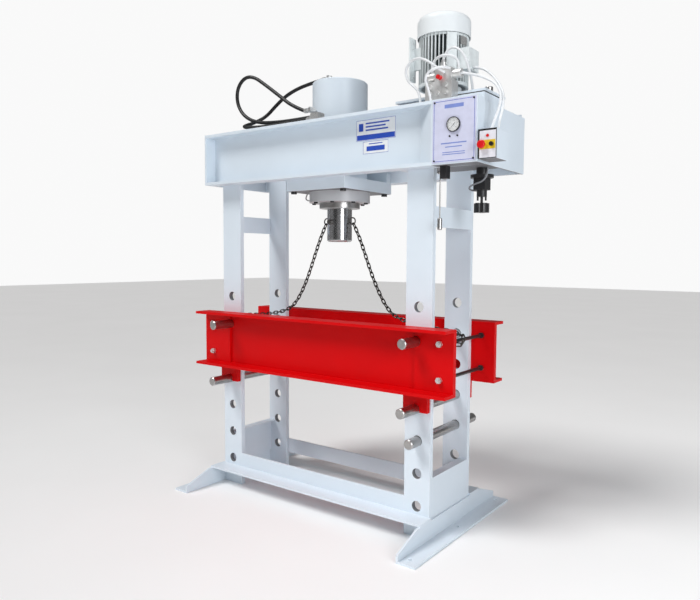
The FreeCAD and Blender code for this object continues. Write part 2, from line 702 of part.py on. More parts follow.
def chain_route():
    """Right chain's centre line: from the ram's eye, slack down to the table, round the tie rod."""
    eye = V(eye_ring_x(), 0, EYE_HEIGHT)
    second = V(180, 0, 1564)
    hook = EYE_RING - (EYE_WIRE + CHAIN_WIRE) / 2 - CHAIN_SLACK + (CHAIN_INNER + CHAIN_WIRE) / 2
    start = eye + (second - eye).normalize() * hook
    hang = [start, second, V(236, 0, 1430), V(310, 0, 1284), V(400, -4, 1180), V(510, -10, 1140),
            V(620, -16, 1122), V(730, -20, 1112), V(812, -22, 1104)]
    radius = TIE_ROD_DIAMETER / 2 + CHAIN_WIRE / 2 + CHAIN_INNER_WIDTH / 2 + CHAIN_WIRE / 2 + CHAIN_WRAP_GAP
    steps = int(CHAIN_WRAP_TURNS * 8)
    for k in range(steps + 1):
        angle = math.radians(90 - 45 * k)
        drift = -24 - CHAIN_WRAP_DRIFT * k / 8
        hang.append(V(TIE_ROD_X + radius * math.cos(angle), drift,
                      TIE_ROD_HEIGHTS[0] + radius * math.sin(angle)))
    curve = Part.BSplineCurve()
    curve.interpolate(hang)
    return curve.toShape()


def chain():
    link = chain_link()
    route = chain_route()
    pitch = CHAIN_INNER - CHAIN_SLACK
    links = []
    for index in range(int(route.Length / pitch)):
        parameter = route.getParameterByLength(index * pitch)
        heading = route.tangentAt(parameter)
        turn = FreeCAD.Rotation(heading, V(0, 1, 0), V(0, 0, 1), "XYZ")
        roll = FreeCAD.Rotation(V(1, 0, 0), 90 - 90 * (index % 2))
        placed = link.copy()
        placed.Placement = FreeCAD.Placement(route.valueAt(parameter), turn.multiply(roll))
        links.append(placed)
    return links


def build_chains():
    right = chain()
    save("chain_right", right)
    save("chain_left", [mirrored_x(link) for link in right])


# ---------------------------------------------------------------- table
def table_beam():
    """Front beam: a channel opening forward, doubled at its ends, on a saddle over each lower pin."""
    length = TABLE_HALF_LENGTH
    web = box(-length, length, -TABLE_WEB_Y, -TABLE_INNER_Y, TABLE_BOTTOM, TABLE_TOP)
    top = box(-length, length, -TABLE_FRONT_Y, -TABLE_INNER_Y, TABLE_TOP - TABLE_FLANGE, TABLE_TOP)
    bottom = top.translated(V(0, 0, TABLE_FLANGE - TABLE_HEIGHT))
    parts = [web, top, bottom]
    for side in (-1, 1):
        inner = side * (length - DOUBLER_LENGTH)
        x0, x1 = sorted((inner, side * length))
        parts.append(box(x0, x1, -TABLE_WEB_Y - DOUBLER, -TABLE_WEB_Y, TABLE_BOTTOM + TABLE_FLANGE,
                         TABLE_TOP - TABLE_FLANGE))
        parts.append(saddle(side))
    beam = fused(parts)
    back = -TABLE_INNER_Y + 5
    front = -TABLE_WEB_Y - DOUBLER - 5
    for side in (-1, 1):
        beam = beam.cut(cross_rod(PIN_HOLE_BORE / 2, side * UPRIGHT_SPREAD, hole_height(UPPER_PIN_HOLE),
                                  front, back))
        for z in TIE_ROD_HEIGHTS:
            beam = beam.cut(cross_rod(TIE_ROD_DIAMETER / 2, side * TIE_ROD_X, z, front, back))
    return beam


def saddle(side):
    """Block under the bottom flange with a round-topped slot that sits on the lower pin."""
    x = side * UPRIGHT_SPREAD
    axis = pin_height(LOWER_PIN_HOLE)
    front = -TABLE_WEB_Y - DOUBLER
    reach = SADDLE_WIDTH / 2
    hollow = PIN_DIAMETER / 2 + 2 * SEAT_GAP
    block = box(x - reach, x + reach, front, -TABLE_INNER_Y, axis - SADDLE_SKIRT, TABLE_BOTTOM)
    seat = cross_rod(hollow, x, axis, front - 1, -TABLE_INNER_Y + 1)
    throat = box(x - hollow, x + hollow, front - 1, -TABLE_INNER_Y + 1, axis - SADDLE_SKIRT - 1, axis)
    return block.cut(seat).cut(throat)


def tie_rods():
    """Four rods through both beams, with a nut on each side of each web."""
    outer = TABLE_WEB_Y + DOUBLER
    end = outer + TIE_NUT_HEIGHT + TIE_ROD_TAIL
    solids = []
    for side in (-1, 1):
        for z in TIE_ROD_HEIGHTS:
            x = side * TIE_ROD_X
            pieces = [cross_rod(TIE_ROD_DIAMETER / 2, x, z, -end, end)]
            for toward in (-1, 1):
                axis = V(0, toward, 0)
                pieces.append(hexagon(TIE_NUT_FLATS, V(x, toward * outer, z), axis, TIE_NUT_HEIGHT))
                inner_face = V(x, toward * TABLE_INNER_Y, z)
                pieces.append(hexagon(TIE_NUT_FLATS, inner_face, axis * -1, TIE_NUT_HEIGHT))
            solids.append(fused(pieces))
    return solids


def cross_pin(side, hole, front):
    x = side * UPRIGHT_SPREAD
    pin = cross_rod(PIN_DIAMETER / 2, x, pin_height(hole), front, front + PIN_LENGTH)
    ends = [edge for edge in pin.Edges if edge.Closed and edge.BoundBox.YLength < 1]
    return pin.makeChamfer(PIN_CHAMFER, ends)


def build_table():
    front = table_beam()
    save("table_beam_front", [front])
    save("table_beam_back", [mirrored_y(front)])
    save("tie_rods", tie_rods())
    pins = [cross_pin(1, SPARE_PIN_HOLE, SPARE_PIN_FRONT)]
    for side in (-1, 1):
        pins.append(cross_pin(side, UPPER_PIN_HOLE, UPPER_PIN_FRONT))
        pins.append(cross_pin(side, LOWER_PIN_HOLE, LOWER_PIN_FRONT))
    save("cross_pins", pins)


# ---------------------------------------------------------------- control box, panel and gauge
def control_box():
    """Sheet housing in front of the head's right end, with the bevelled sheet that meets the web."""
    front = -HEAD_FRONT_Y
    back = -HEAD_WEB_Y
    shell = box(BOX_LEFT, HEAD_RIGHT, front, back, HEAD_BOTTOM, HEAD_TOP)
    hollow = box(BOX_LEFT + SHEET, HEAD_RIGHT - SHEET, front + SHEET, back + 1, HEAD_BOTTOM + SHEET,
                 HEAD_TOP - SHEET)
    shell = shell.cut(hollow)
    shell = shell.cut(cross_rod(gauge_case_radius(), PANEL_X, GAUGE_Z, front - 1, front + SHEET + 1))
    for x, z in panel_screw_places():
        shell = shell.cut(cross_rod(PANEL_SCREW_HEAD / 4, x, z, front - 1, front + SHEET + 1))
    slope = SHEET * math.sqrt(2)
    low = HEAD_BOTTOM + HEAD_FLANGE
    outline = [V(BEVEL_WEB_X, back, low), V(BOX_LEFT, front, low), V(BOX_LEFT, front + slope, low),
               V(BEVEL_WEB_X + slope, back, low)]
    bevel = prism(outline, V(0, 0, HEAD_HEIGHT - 2 * HEAD_FLANGE))
    return [shell, bevel]


def gauge_case_radius():
    return GAUGE_DIAMETER / 2 - GAUGE_CASE_INSET


def panel_screw_places():
    """Four corners of the panel and the two screws of the gauge's clamp."""
    places = []
    for side in (-1, 1):
        for rise in (-1, 1):
            places.append((PANEL_X + side * (PANEL_WIDTH / 2 - PANEL_SCREW_INSET),
                           PANEL_Z + rise * (PANEL_HEIGHT / 2 - PANEL_SCREW_INSET)))
        places.append((PANEL_X + side * GAUGE_SCREW_SPREAD, GAUGE_Z - GAUGE_SCREW_DROP))
    return places


def instrument_panel():
    half = PANEL_WIDTH / 2
    rise = PANEL_HEIGHT / 2
    plate = box(PANEL_X - half, PANEL_X + half, PANEL_FACE_Y, -HEAD_FRONT_Y, PANEL_Z - rise, PANEL_Z + rise)
    plate = plate.cut(cross_rod(gauge_case_radius(), PANEL_X, GAUGE_Z, PANEL_FACE_Y - 1, -HEAD_FRONT_Y + 1))
    for x, z in panel_screw_places():
        plate = plate.cut(cross_rod(PANEL_SCREW_HEAD / 4, x, z, PANEL_FACE_Y - 1, -HEAD_FRONT_Y + 1))
    return plate


def panel_screws():
    screws = []
    for x, z in panel_screw_places():
        head = cross_rod(PANEL_SCREW_HEAD / 2, x, z, PANEL_FACE_Y - 4, PANEL_FACE_Y)
        shank = cross_rod(PANEL_SCREW_HEAD / 4, x, z, PANEL_FACE_Y, -HEAD_FRONT_Y + SHEET)
        screws.append(fused([head, shank]))
    return screws


def gauge_case():
    """Round case through the panel with a bezel in front of it, open to the front."""
    bezel_front = PANEL_FACE_Y - GAUGE_BEZEL
    body = cross_rod(gauge_case_radius(), PANEL_X, GAUGE_Z, PANEL_FACE_Y, PANEL_FACE_Y + GAUGE_CASE_DEPTH)
    bezel = cross_rod(GAUGE_DIAMETER / 2, PANEL_X, GAUGE_Z, bezel_front, PANEL_FACE_Y)
    stem = cross_rod(8, PANEL_X, GAUGE_Z, PANEL_FACE_Y + GAUGE_CASE_DEPTH, -HEAD_WEB_Y)
    pocket = cross_rod(GAUGE_DIAMETER / 2 - GAUGE_RIM, PANEL_X, GAUGE_Z, bezel_front - 1, PANEL_FACE_Y)
    return fused([body, bezel, stem]).cut(pocket)


def build_panel():
    save("control_box", control_box())
    save("instrument_panel", [instrument_panel()])
    save("panel_screws", panel_screws())
    inner = GAUGE_DIAMETER / 2 - GAUGE_RIM
    hub = cross_rod(1.5, PANEL_X, GAUGE_Z, PANEL_FACE_Y - 5.5, PANEL_FACE_Y)
    save("gauge_case", [fused([gauge_case(), hub])])
    glass_front = PANEL_FACE_Y - GAUGE_BEZEL + 1
    save("gauge_glass", [cross_rod(inner, PANEL_X, GAUGE_Z, glass_front, glass_front + 2)])
    save("gauge_needle", [gauge_needle(inner)])


def gauge_needle(reach):
    """Pointer at zero: down to the left on the dial."""
    y0 = PANEL_FACE_Y - NEEDLE_STANDOFF
    y1 = y0 + NEEDLE_THICKNESS
    boss = cross_rod(NEEDLE_BOSS / 2, PANEL_X, GAUGE_Z, y0, y1)
    along = V(-math.sqrt(0.5), 0, -math.sqrt(0.5))
    across = V(math.sqrt(0.5), 0, -math.sqrt(0.5))
    centre = V(PANEL_X, y0, GAUGE_Z)
    tip = reach - 5
    wide = across * NEEDLE_TAIL_WIDTH / 2
    fine = across * NEEDLE_TIP_WIDTH / 2
    tail = centre - along * NEEDLE_TAIL
    outline = [tail + wide, centre + along * tip + fine, centre + along * tip - fine, tail - wide]
    blade = prism(outline, V(0, y1 - y0, 0))
    return fused([boss, blade]).cut(cross_rod(1.5 + RUN_FIT, PANEL_X, GAUGE_Z, y0 - 1, y1 + 1))


# ---------------------------------------------------------------- tank
def tank_block(inset, z0, z1):
    """The tank's plan, drawn in by inset: it steps back to pass behind the front right upright."""
    narrow = -INNER_Y + TANK_CLEARANCE + inset
    wide_from = OUTER_X + TANK_CLEARANCE + inset
    outline = [V(TANK_LEFT + inset, narrow, z0), V(wide_from, narrow, z0),
               V(wide_from, TANK_FRONT + inset, z0), V(TANK_RIGHT - inset, TANK_FRONT + inset, z0),
               V(TANK_RIGHT - inset, TANK_BACK - inset, z0), V(TANK_LEFT + inset, TANK_BACK - inset, z0)]
    return prism(outline, V(0, 0, z1 - z0))


def oil_tank():
    shell = tank_block(0, TANK_BOTTOM, TANK_TOP)
    return shell.cut(tank_block(TANK_WALL, TANK_BOTTOM + TANK_WALL, TANK_TOP + 1))


def tank_gasket():
    ring = tank_block(0, TANK_TOP, LID_BOTTOM)
    return ring.cut(tank_block(TANK_WALL + 12, TANK_TOP - 1, LID_BOTTOM + 1))


def tank_lid():
    """Flat lid over the whole tank, with the hole that the pump hangs through."""
    over = LID_OVERHANG
    lid = box(TANK_LEFT - over, TANK_RIGHT + over, TANK_FRONT - 1, TANK_BACK + over, LID_BOTTOM, LID_TOP)
    return lid.cut(upright_rod(PUMP_DIAMETER / 2, MOTOR_X, MOTOR_Y, LID_BOTTOM - 1, LID_TOP + 1))


def filler_cap():
    x = TANK_RIGHT - 44
    y = (TANK_FRONT + TANK_BACK) / 2 + 30
    neck = upright_rod(FILLER_DIAMETER / 2 - 5, x, y, LID_TOP, LID_TOP + 12)
    cap = upright_rod(FILLER_DIAMETER / 2, x, y, LID_TOP + 12, LID_TOP + 40)
    cap = cap.makeFillet(4, [edge for edge in cap.Edges if edge.BoundBox.ZMin > LID_TOP + 39])
    return fused([neck, cap])


def build_tank():
    save("oil_tank", [oil_tank()])
    save("tank_gasket", [tank_gasket()])
    save("tank_lid", [tank_lid()])
    save("filler_cap", [filler_cap()])


# ---------------------------------------------------------------- motor and pump
def motor_axis_rod(radius, z0, z1):
    return upright_rod(radius, MOTOR_X, MOTOR_Y, z0, z1)


def finned_section():
    """Outline of the ribbed motor frame."""
    points = []
    step = 2 * math.pi / MOTOR_FIN_COUNT
    half_tip = MOTOR_FIN / 2 / MOTOR_FIN_RADIUS
    half_root = MOTOR_FIN / MOTOR_CORE
    for k in range(MOTOR_FIN_COUNT):
        for radius, offset in ((MOTOR_CORE, -half_root), (MOTOR_FIN_RADIUS, -half_tip),
                               (MOTOR_FIN_RADIUS, half_tip), (MOTOR_CORE, half_root)):
            angle = k * step + offset
            points.append(V(MOTOR_X + radius * math.cos(angle), MOTOR_Y + radius * math.sin(angle),
                            MOTOR_BOTTOM))
    return points


def foot_pads():
    """Two foot strips on the motor's left side, each with three bolt holes."""
    pads = []
    x = MOTOR_X - FOOT_PAD_OFFSET
    bottom = MOTOR_BOTTOM + 34
    for side in (-1, 1):
        y = MOTOR_Y + side * FOOT_PAD_SPREAD / 2
        pad = box(x, x + FOOT_PAD_THICKNESS, y - FOOT_PAD_WIDTH / 2, y + FOOT_PAD_WIDTH / 2, bottom,
                  bottom + FOOT_PAD_LENGTH)
        rib_y = MOTOR_Y + side * (MOTOR_CORE - 24)
        rib = box(x, MOTOR_X - 40, min(rib_y, rib_y + side * 14), max(rib_y, rib_y + side * 14),
                  bottom + 60, bottom + FOOT_PAD_LENGTH - 50)
        pad = fused([pad, rib])
        for rise in (22, FOOT_PAD_LENGTH - 60, FOOT_PAD_LENGTH - 22):
            hole = rod(FOOT_PAD_HOLE / 2, V(x - 5, y, bottom + rise), V(x + 20, y, bottom + rise))
            pad = pad.cut(hole)
        pads.append(pad)
    return pads


def motor_body():
    """Ribbed frame with a terminal box, a plain strip between its fins and foot strips at the left."""
    ribs = prism(finned_section(), V(0, 0, MOTOR_LENGTH))
    bottom_shield = motor_axis_rod(MOTOR_FIN_RADIUS, MOTOR_BOTTOM, MOTOR_BOTTOM + 16)
    top_shield = motor_axis_rod(MOTOR_FIN_RADIUS - 4, MOTOR_TOP - 16, MOTOR_TOP)
    half = MOTOR_STRIP_WIDTH / 2
    strip = box(MOTOR_X + ROTOR_RADIUS, MOTOR_X + MOTOR_FIN_RADIUS + 2, MOTOR_Y - half, MOTOR_Y + half,
                MOTOR_BOTTOM + 20, MOTOR_TOP - FAN_COVER_LAP - 2)
    strip.rotate(V(MOTOR_X, MOTOR_Y, 0), V(0, 0, 1), MOTOR_STRIP_BEARING)
    side = TERMINAL_BOX / 2
    terminal_box = box(MOTOR_X + ROTOR_RADIUS + 4, MOTOR_X + TERMINAL_BOX_REACH, MOTOR_Y - side,
                       MOTOR_Y + side, MOTOR_BOTTOM + TERMINAL_BOX_RISE,
                       MOTOR_BOTTOM + TERMINAL_BOX_RISE + TERMINAL_BOX)
    body = fused([ribs, bottom_shield, top_shield, strip, terminal_box] + foot_pads())
    cavity = motor_axis_rod(ROTOR_RADIUS + 2, MOTOR_BOTTOM + MOTOR_WALL, MOTOR_TOP - MOTOR_WALL)
    shaft_bore = motor_axis_rod(SHAFT_DIAMETER / 2 + RUN_FIT, MOTOR_BOTTOM - 1, MOTOR_TOP + 1)
    return body.cut(cavity).cut(shaft_bore)


def fan_cover():
    top = MOTOR_TOP + FAN_COVER_HEIGHT
    outer = motor_axis_rod(FAN_COVER_RADIUS, MOTOR_TOP - FAN_COVER_LAP, top)
    outer = outer.makeFillet(FAN_COVER_ROUND, [edge for edge in outer.Edges if edge.BoundBox.ZMin > top - 1])
    wall = FAN_COVER_WALL
    inner = motor_axis_rod(FAN_COVER_RADIUS - wall, MOTOR_TOP - FAN_COVER_LAP - 1, top - wall)
    upper_edges = [edge for edge in inner.Edges if edge.BoundBox.ZMin > top - wall - 1]
    inner = inner.makeFillet(FAN_COVER_ROUND - wall, upper_edges)
    cover = outer.cut(inner)
    axis = V(MOTOR_X, MOTOR_Y, MOTOR_TOP)
    for k in range(4):
        angle = math.radians(45 + 90 * k)
        out = V(math.cos(angle), math.sin(angle), 0)
        foot_point = axis + out * (MOTOR_CORE + 10)
        lug = rod(7, foot_point, foot_point + V(0, 0, 18))
        height = V(0, 0, 9)
        arm = rod(5, foot_point + height, axis + out * (FAN_COVER_RADIUS - 1) + height)
        cover = fused([cover, lug, arm])
    return cover


def motor_fan():
    hub = motor_axis_rod(34, MOTOR_TOP + 30, MOTOR_TOP + 78)
    disc = motor_axis_rod(FAN_RADIUS, MOTOR_TOP + 28, MOTOR_TOP + 34)
    parts = [hub, disc]
    for k in range(FAN_BLADES):
        blade = box(MOTOR_X + 28, MOTOR_X + FAN_RADIUS - 2, MOTOR_Y - 2, MOTOR_Y + 2, MOTOR_TOP + 33,
                    MOTOR_TOP + 74)
        blade.rotate(V(MOTOR_X, MOTOR_Y, 0), V(0, 0, 1), 360 / FAN_BLADES * k)
        parts.append(blade)
    return fused(parts).cut(motor_axis_rod(SHAFT_DIAMETER / 2, MOTOR_TOP, MOTOR_TOP + 100))


def motor_shaft():
    """Shaft with its rotor core, from the pump coupling up to the fan."""
    shaft = motor_axis_rod(SHAFT_DIAMETER / 2, LID_TOP + 6, MOTOR_TOP + 78)
    core = motor_axis_rod(ROTOR_RADIUS, MOTOR_BOTTOM + 30, MOTOR_TOP - 30)
    coupling = motor_axis_rod(36, LID_TOP + 6, MOTOR_BOTTOM - 6)
    return fused([shaft, core, coupling])


def bellhousing():
    outer = motor_axis_rod(BELLHOUSING_DIAMETER / 2, LID_TOP, MOTOR_BOTTOM)
    inner = motor_axis_rod(BELLHOUSING_DIAMETER / 2 - 22, LID_TOP - 1, MOTOR_BOTTOM + 1)
    return outer.cut(inner)


def pump():
    """Gear pump hanging through the lid, with its suction pipe and strainer."""
    rim = motor_axis_rod(BELLHOUSING_DIAMETER / 2 - 22, LID_TOP, LID_TOP + 4)
    body = motor_axis_rod(PUMP_DIAMETER / 2, LID_TOP - PUMP_HEIGHT, LID_TOP + 4)
    suction = motor_axis_rod(18, TANK_BOTTOM + 60, LID_TOP - PUMP_HEIGHT)
    strainer = motor_axis_rod(38, TANK_BOTTOM + 12, TANK_BOTTOM + 80)
    return fused([rim, body, suction, strainer])


def build_motor():
    save("motor_body", [motor_body()])
    save("fan_cover", [fan_cover()])
    save("motor_fan", [motor_fan()])
    save("motor_shaft", [motor_shaft()])
    save("bellhousing", [bellhousing()])
    save("pump", [pump()])


# ---------------------------------------------------------------- manifold, valves and fittings
def manifold_back():
    return -OUTER_Y


def manifold():
    back = manifold_back()
    front = back - MANIFOLD_DEPTH
    block = box(MANIFOLD_LEFT, MANIFOLD_LEFT + MANIFOLD_LENGTH, front, back, HEAD_TOP,
                HEAD_TOP + MANIFOLD_HEIGHT)
    plugs = []
    for x, z in PORT_PLUG_PLACES:
        port = V(MANIFOLD_LEFT + x, front, HEAD_TOP + z)
        plugs.append(hexagon(PORT_PLUG_FLATS, port, V(0, -1, 0), PORT_PLUG_HEIGHT))
    return fused([block] + plugs)


def solenoid_valves():
    """Directional valve with a solenoid at each end, and a relief cartridge beside it."""
    back = manifold_back()
    y = back - MANIFOLD_DEPTH / 2
    low = HEAD_TOP + MANIFOLD_HEIGHT
    axis_z = low + VALVE_HEIGHT / 2
    left = MANIFOLD_LEFT + 50
    right = MANIFOLD_LEFT + MANIFOLD_LENGTH - 8
    body = box(left, right, back - MANIFOLD_DEPTH + 4, back - 4, low, low + VALVE_HEIGHT)
    coils = []
    for start, end in ((left - SOLENOID_LENGTH, left), (right, right + SOLENOID_LENGTH)):
        coils.append(rod(SOLENOID_RADIUS, V(start, y, axis_z), V(end, y, axis_z)))
    relief = upright_rod(15, (left + right) / 2 - 12, y, low + VALVE_HEIGHT, low + VALVE_HEIGHT + 34)
    cap = upright_rod(10, (left + right) / 2 - 12, y, low + VALVE_HEIGHT + 34, low + VALVE_HEIGHT + 48)
    front = back - MANIFOLD_DEPTH + 4
    cartridge = cross_rod(CARTRIDGE_RADIUS, left + 33, low + 16, front - CARTRIDGE_LENGTH, front)
    return [fused([body] + coils + [relief, cap, cartridge])]


def port_elbow(corner, out, along):
    """Elbow whose body sits on corner, with a stub that meets the cylinder and a hose socket."""
    block = hexagon(30, corner - out * 17, out, 34)
    stub = rod(11, corner - out * 32, corner)
    nipple = rod(10, corner, corner + along * 34)
    socket = hexagon(26, corner + along * 30, along, 22)
    return fused([block, stub, nipple, socket])


def upper_port():
    """Where the upper port's elbow sits on the barrel's top."""
    return V(-30, -70, BARREL_TOP + 22)


def side_port():
    """Where the lower port's elbow sits beside the barrel."""
    angle = math.radians(-112)
    radius = BARREL_OUTER / 2 + 28
    return V(radius * math.cos(angle), radius * math.sin(angle), BARREL_TOP - 178)


def union_block():
    """Block on the head's top flange that joins both hoses to the steel pipes."""
    return box(UNION_X, UNION_X + 56, -OUTER_Y - 54, -OUTER_Y + 6, HEAD_TOP, HEAD_TOP + 46)


def union_sockets():
    sockets = []
    for route in PRESSURE_HOSE_ROUTES.values():
        y, z = route[-1][1:]
        start = V(UNION_X, y, z)
        nipple = rod(9, start, start - V(22, 0, 0))
        nut = hexagon(24, V(UNION_X - 20, y, z), V(-1, 0, 0), 20)
        sockets.append(fused([nipple, nut]))
    return sockets


def hydraulic_fittings():
    left = V(-1, 0, 0)
    upper = port_elbow(upper_port(), V(0, 0, 1), left)
    side = side_port()
    outward = V(side.x, side.y, 0).normalize()
    lower = port_elbow(side, outward, left)
    barrel_solid = upright_rod(BARREL_OUTER / 2, 0, 0, MOUNT_PLATE_BOTTOM, BARREL_TOP)
    return [upper.cut(barrel_solid), lower.cut(barrel_solid), fused([union_block()] + union_sockets())]


def steel_pipes():
    """Two pipes along the head's top flange, from the union block to the manifold."""
    radius = STEEL_PIPE / 2
    pipes = []
    for y in (-OUTER_Y - 22, -OUTER_Y - 42):
        start = V(UNION_X + 56, y, HEAD_TOP + radius)
        pipes.append(rod(radius, start, V(MANIFOLD_LEFT, y, HEAD_TOP + radius)))
    return pipes


def points_of(route):
    return [V(*place) for place in route]


def build_hydraulics():
    valves = solenoid_valves()
    fittings = hydraulic_fittings()
    save("valve_manifold", [manifold()])
    save("solenoid_valves", valves)
    save("hydraulic_fittings", fittings + steel_pipes() + [bleed_pipe()])
    for name, route in PRESSURE_HOSE_ROUTES.items():
        save(name, [hose(name, points_of(route), PRESSURE_HOSE, fittings)])
    save("control_hose", [hose("control_hose", points_of(CONTROL_HOSE_POINTS), CONTROL_HOSE,
                               [creep_valve()])])
    switch_seats = valves + [motor_body(), switch_box()]
    conduits = []
    for number, route in enumerate(SWITCH_CONDUIT_ROUTES, 1):
        conduits.append(hose(f"switch_conduit_{number}", points_of(route), CONDUIT, switch_seats))
    save("switch_conduits", conduits)
    valve_seats = valves + [head_beam_front(), tank_lid()]
    for name, routes in VALVE_CONDUIT_ROUTES.items():
        save(name, [hose(name, points_of(route), CONDUIT, valve_seats) for route in routes])


# ---------------------------------------------------------------- switch box
def switch_left():
    return HEAD_RIGHT + SWITCH_STANDOFF


def switch_front():
    return -HEAD_FRONT_Y - SWITCH_FRONT_LEAD


def switch_middle():
    return SWITCH_BOTTOM + SWITCH_HEIGHT / 2


def switch_box():
    """Enclosure on the head's right end, on a standoff strip, with its recessed front plate."""
    left = switch_left()
    front = switch_front()
    top = SWITCH_BOTTOM + SWITCH_HEIGHT
    case = box(left, left + SWITCH_WIDTH, front, front + SWITCH_DEPTH, SWITCH_BOTTOM, top)
    case = case.makeFillet(3, [edge for edge in case.Edges if edge.BoundBox.YLength > SWITCH_DEPTH - 1])
    strip = box(HEAD_RIGHT, left, -HEAD_FRONT_Y + 4, front + SWITCH_DEPTH - 20, SWITCH_BOTTOM + 20, top - 20)
    return fused([case, strip])


def switch_seal():
    left = switch_left()
    front = switch_front()
    return box(left + 1, left + SWITCH_WIDTH - 1, front - SWITCH_SEAL, front, SWITCH_BOTTOM + 1,
               SWITCH_BOTTOM + SWITCH_HEIGHT - 1)


def switch_plate_front():
    return switch_front() - SWITCH_SEAL - SWITCH_PLATE


def switch_plate():
    """Pale cover plate, with holes for the stop button, the selector and the lamp."""
    left = switch_left() + 10
    right = switch_left() + SWITCH_WIDTH - 3
    plate = box(left, right, switch_plate_front(), switch_front() - SWITCH_SEAL, SWITCH_BOTTOM + 4,
                SWITCH_BOTTOM + SWITCH_HEIGHT - 10)
    lamp = cross_rod(LAMP_RADIUS, lamp_x(), lamp_z(), switch_plate_front() - 4, switch_plate_front())
    return fused([plate, lamp])


def lamp_x():
    return switch_left() + SWITCH_WIDTH / 2 + 4


def lamp_z():
    return switch_middle() + 36


def control_row():
    """Height of the stop button and the selector."""
    return switch_middle() - 5


def estop_x():
    return switch_left() + 28


def selector_x():
    return switch_left() + SWITCH_WIDTH - 22


def yellow_plate():
    front = switch_plate_front()
    half = 21
    plate = box(estop_x() - 18, switch_left() + SWITCH_WIDTH - 5, front - 1.5, front, control_row() - half,
                control_row() + half)
    collar = cross_rod(ESTOP_RADIUS - 5, estop_x(), control_row(), front - 10, front)
    plate = fused([plate, collar])
    plate = plate.cut(cross_rod(ESTOP_STEM + RUN_FIT, estop_x(), control_row(), front - 12, front + 1))
    bore = SELECTOR_RADIUS * 0.6 + RUN_FIT
    return plate.cut(cross_rod(bore, selector_x(), control_row(), front - 12, front + 1))


def estop_button():
    """Mushroom head on a stem that slides in the collar."""
    front = switch_plate_front()
    gap = ESTOP_TRAVEL + BODY_GAP + 1
    head_back = front - 10 - gap
    stem = cross_rod(ESTOP_STEM, estop_x(), control_row(), head_back, front - ESTOP_TRAVEL - BODY_GAP)
    head = cross_rod(ESTOP_RADIUS, estop_x(), control_row(), head_back - 14, head_back)
    rims = [edge for edge in head.Edges if edge.Closed and edge.BoundBox.YMax < head_back - 13]
    return fused([stem, head.makeFillet(7, rims)])


def selector_switch():
    front = switch_plate_front()
    spindle = cross_rod(SELECTOR_RADIUS * 0.6, selector_x(), control_row(), front - 2, front - BODY_GAP)
    knob = cross_rod(SELECTOR_RADIUS, selector_x(), control_row(), front - 14, front - 1.5 - BODY_GAP)
    grip = box(selector_x() - 3, selector_x() + 3, front - 19, front - 13, control_row() - 9,
               control_row() + 9)
    return fused([spindle, knob, grip])


def build_switches():
    save("switch_box", [switch_box()])
    save("switch_seal", [switch_seal()])
    save("switch_plate", [switch_plate(), yellow_plate()])
    save("estop_button", [estop_button()])
    save("selector_switch", [selector_switch()])


# ---------------------------------------------------------------- hand lever and creep valve
def lever_pivot():
    return V(LEVER_X - LEVER_BODY_WIDTH / 2, LEVER_Y, HEAD_BOTTOM - LEVER_PIVOT_DROP)


def lever_valve():
    """Valve under the control box, with the pin that its lever hangs on."""
    half_x = LEVER_BODY_WIDTH / 2
    half_y = LEVER_BODY_DEPTH / 2
    body = box(LEVER_X - half_x, LEVER_X + half_x, LEVER_Y - half_y, LEVER_Y + half_y,
               HEAD_BOTTOM - LEVER_BODY_HEIGHT, HEAD_BOTTOM)
    pivot = lever_pivot()
    pin = rod(LEVER_PIN / 2, pivot, pivot - V(18, 0, 0))
    cap = rod(LEVER_PIN / 2 + 3, pivot - V(16, 0, 0), pivot - V(20, 0, 0))
    return fused([body, pin, cap])


def hand_lever():
    """Rod with an eye on the valve's pin and a grip at its lower end."""
    pivot = lever_pivot()
    middle = pivot - V(8.5, 0, 0)
    eye = rod(9, middle - V(6, 0, 0), middle + V(6, 0, 0))
    bar = upright_rod(LEVER_ROD / 2, middle.x, middle.y, pivot.z - LEVER_LENGTH + 10, pivot.z)
    low = pivot.z - LEVER_LENGTH
    grip = upright_rod(LEVER_GRIP_DIAMETER / 2, middle.x, middle.y, low, low + LEVER_GRIP_LENGTH)
    grip = grip.makeFillet(6, [edge for edge in grip.Edges if edge.Closed])
    lever = fused([eye, bar, grip])
    return lever.cut(rod(LEVER_PIN / 2 + RUN_FIT, pivot + V(5, 0, 0), pivot - V(30, 0, 0)))


def creep_rod(radius, z0, z1, dx=0, dy=0):
    return upright_rod(radius, CREEP_X + dx, CREEP_Y + dy, z0, z1)


def creep_body_bottom():
    return HEAD_BOTTOM - CREEP_NECK - CREEP_DISC - CREEP_BODY_HEIGHT


def creep_valve():
    """Fine-speed valve under the tank: neck, disc, body, and two guide rods down to a collar."""
    disc_top = HEAD_BOTTOM - CREEP_NECK
    bottom = creep_body_bottom()
    half = CREEP_BODY / 2
    neck = creep_rod(30, disc_top, TANK_BOTTOM)
    disc = creep_rod(CREEP_DISC_RADIUS, disc_top - CREEP_DISC, disc_top)
    body = box(CREEP_X - half, CREEP_X + half, CREEP_Y - half, CREEP_Y + half, bottom + 34,
               disc_top - CREEP_DISC)
    lower = creep_rod(half * 0.8, bottom, bottom + 34)
    valve = fused([neck, disc, body, lower])
    bore = creep_rod(CREEP_SPINDLE / 2 + RUN_FIT, bottom - 1, bottom + 40)
    stops = [creep_rod(5, bottom - 20, bottom + 2, dx, dy) for dx, dy in ((-19, -8), (19, 8))]
    return fused([valve.cut(bore)] + stops)


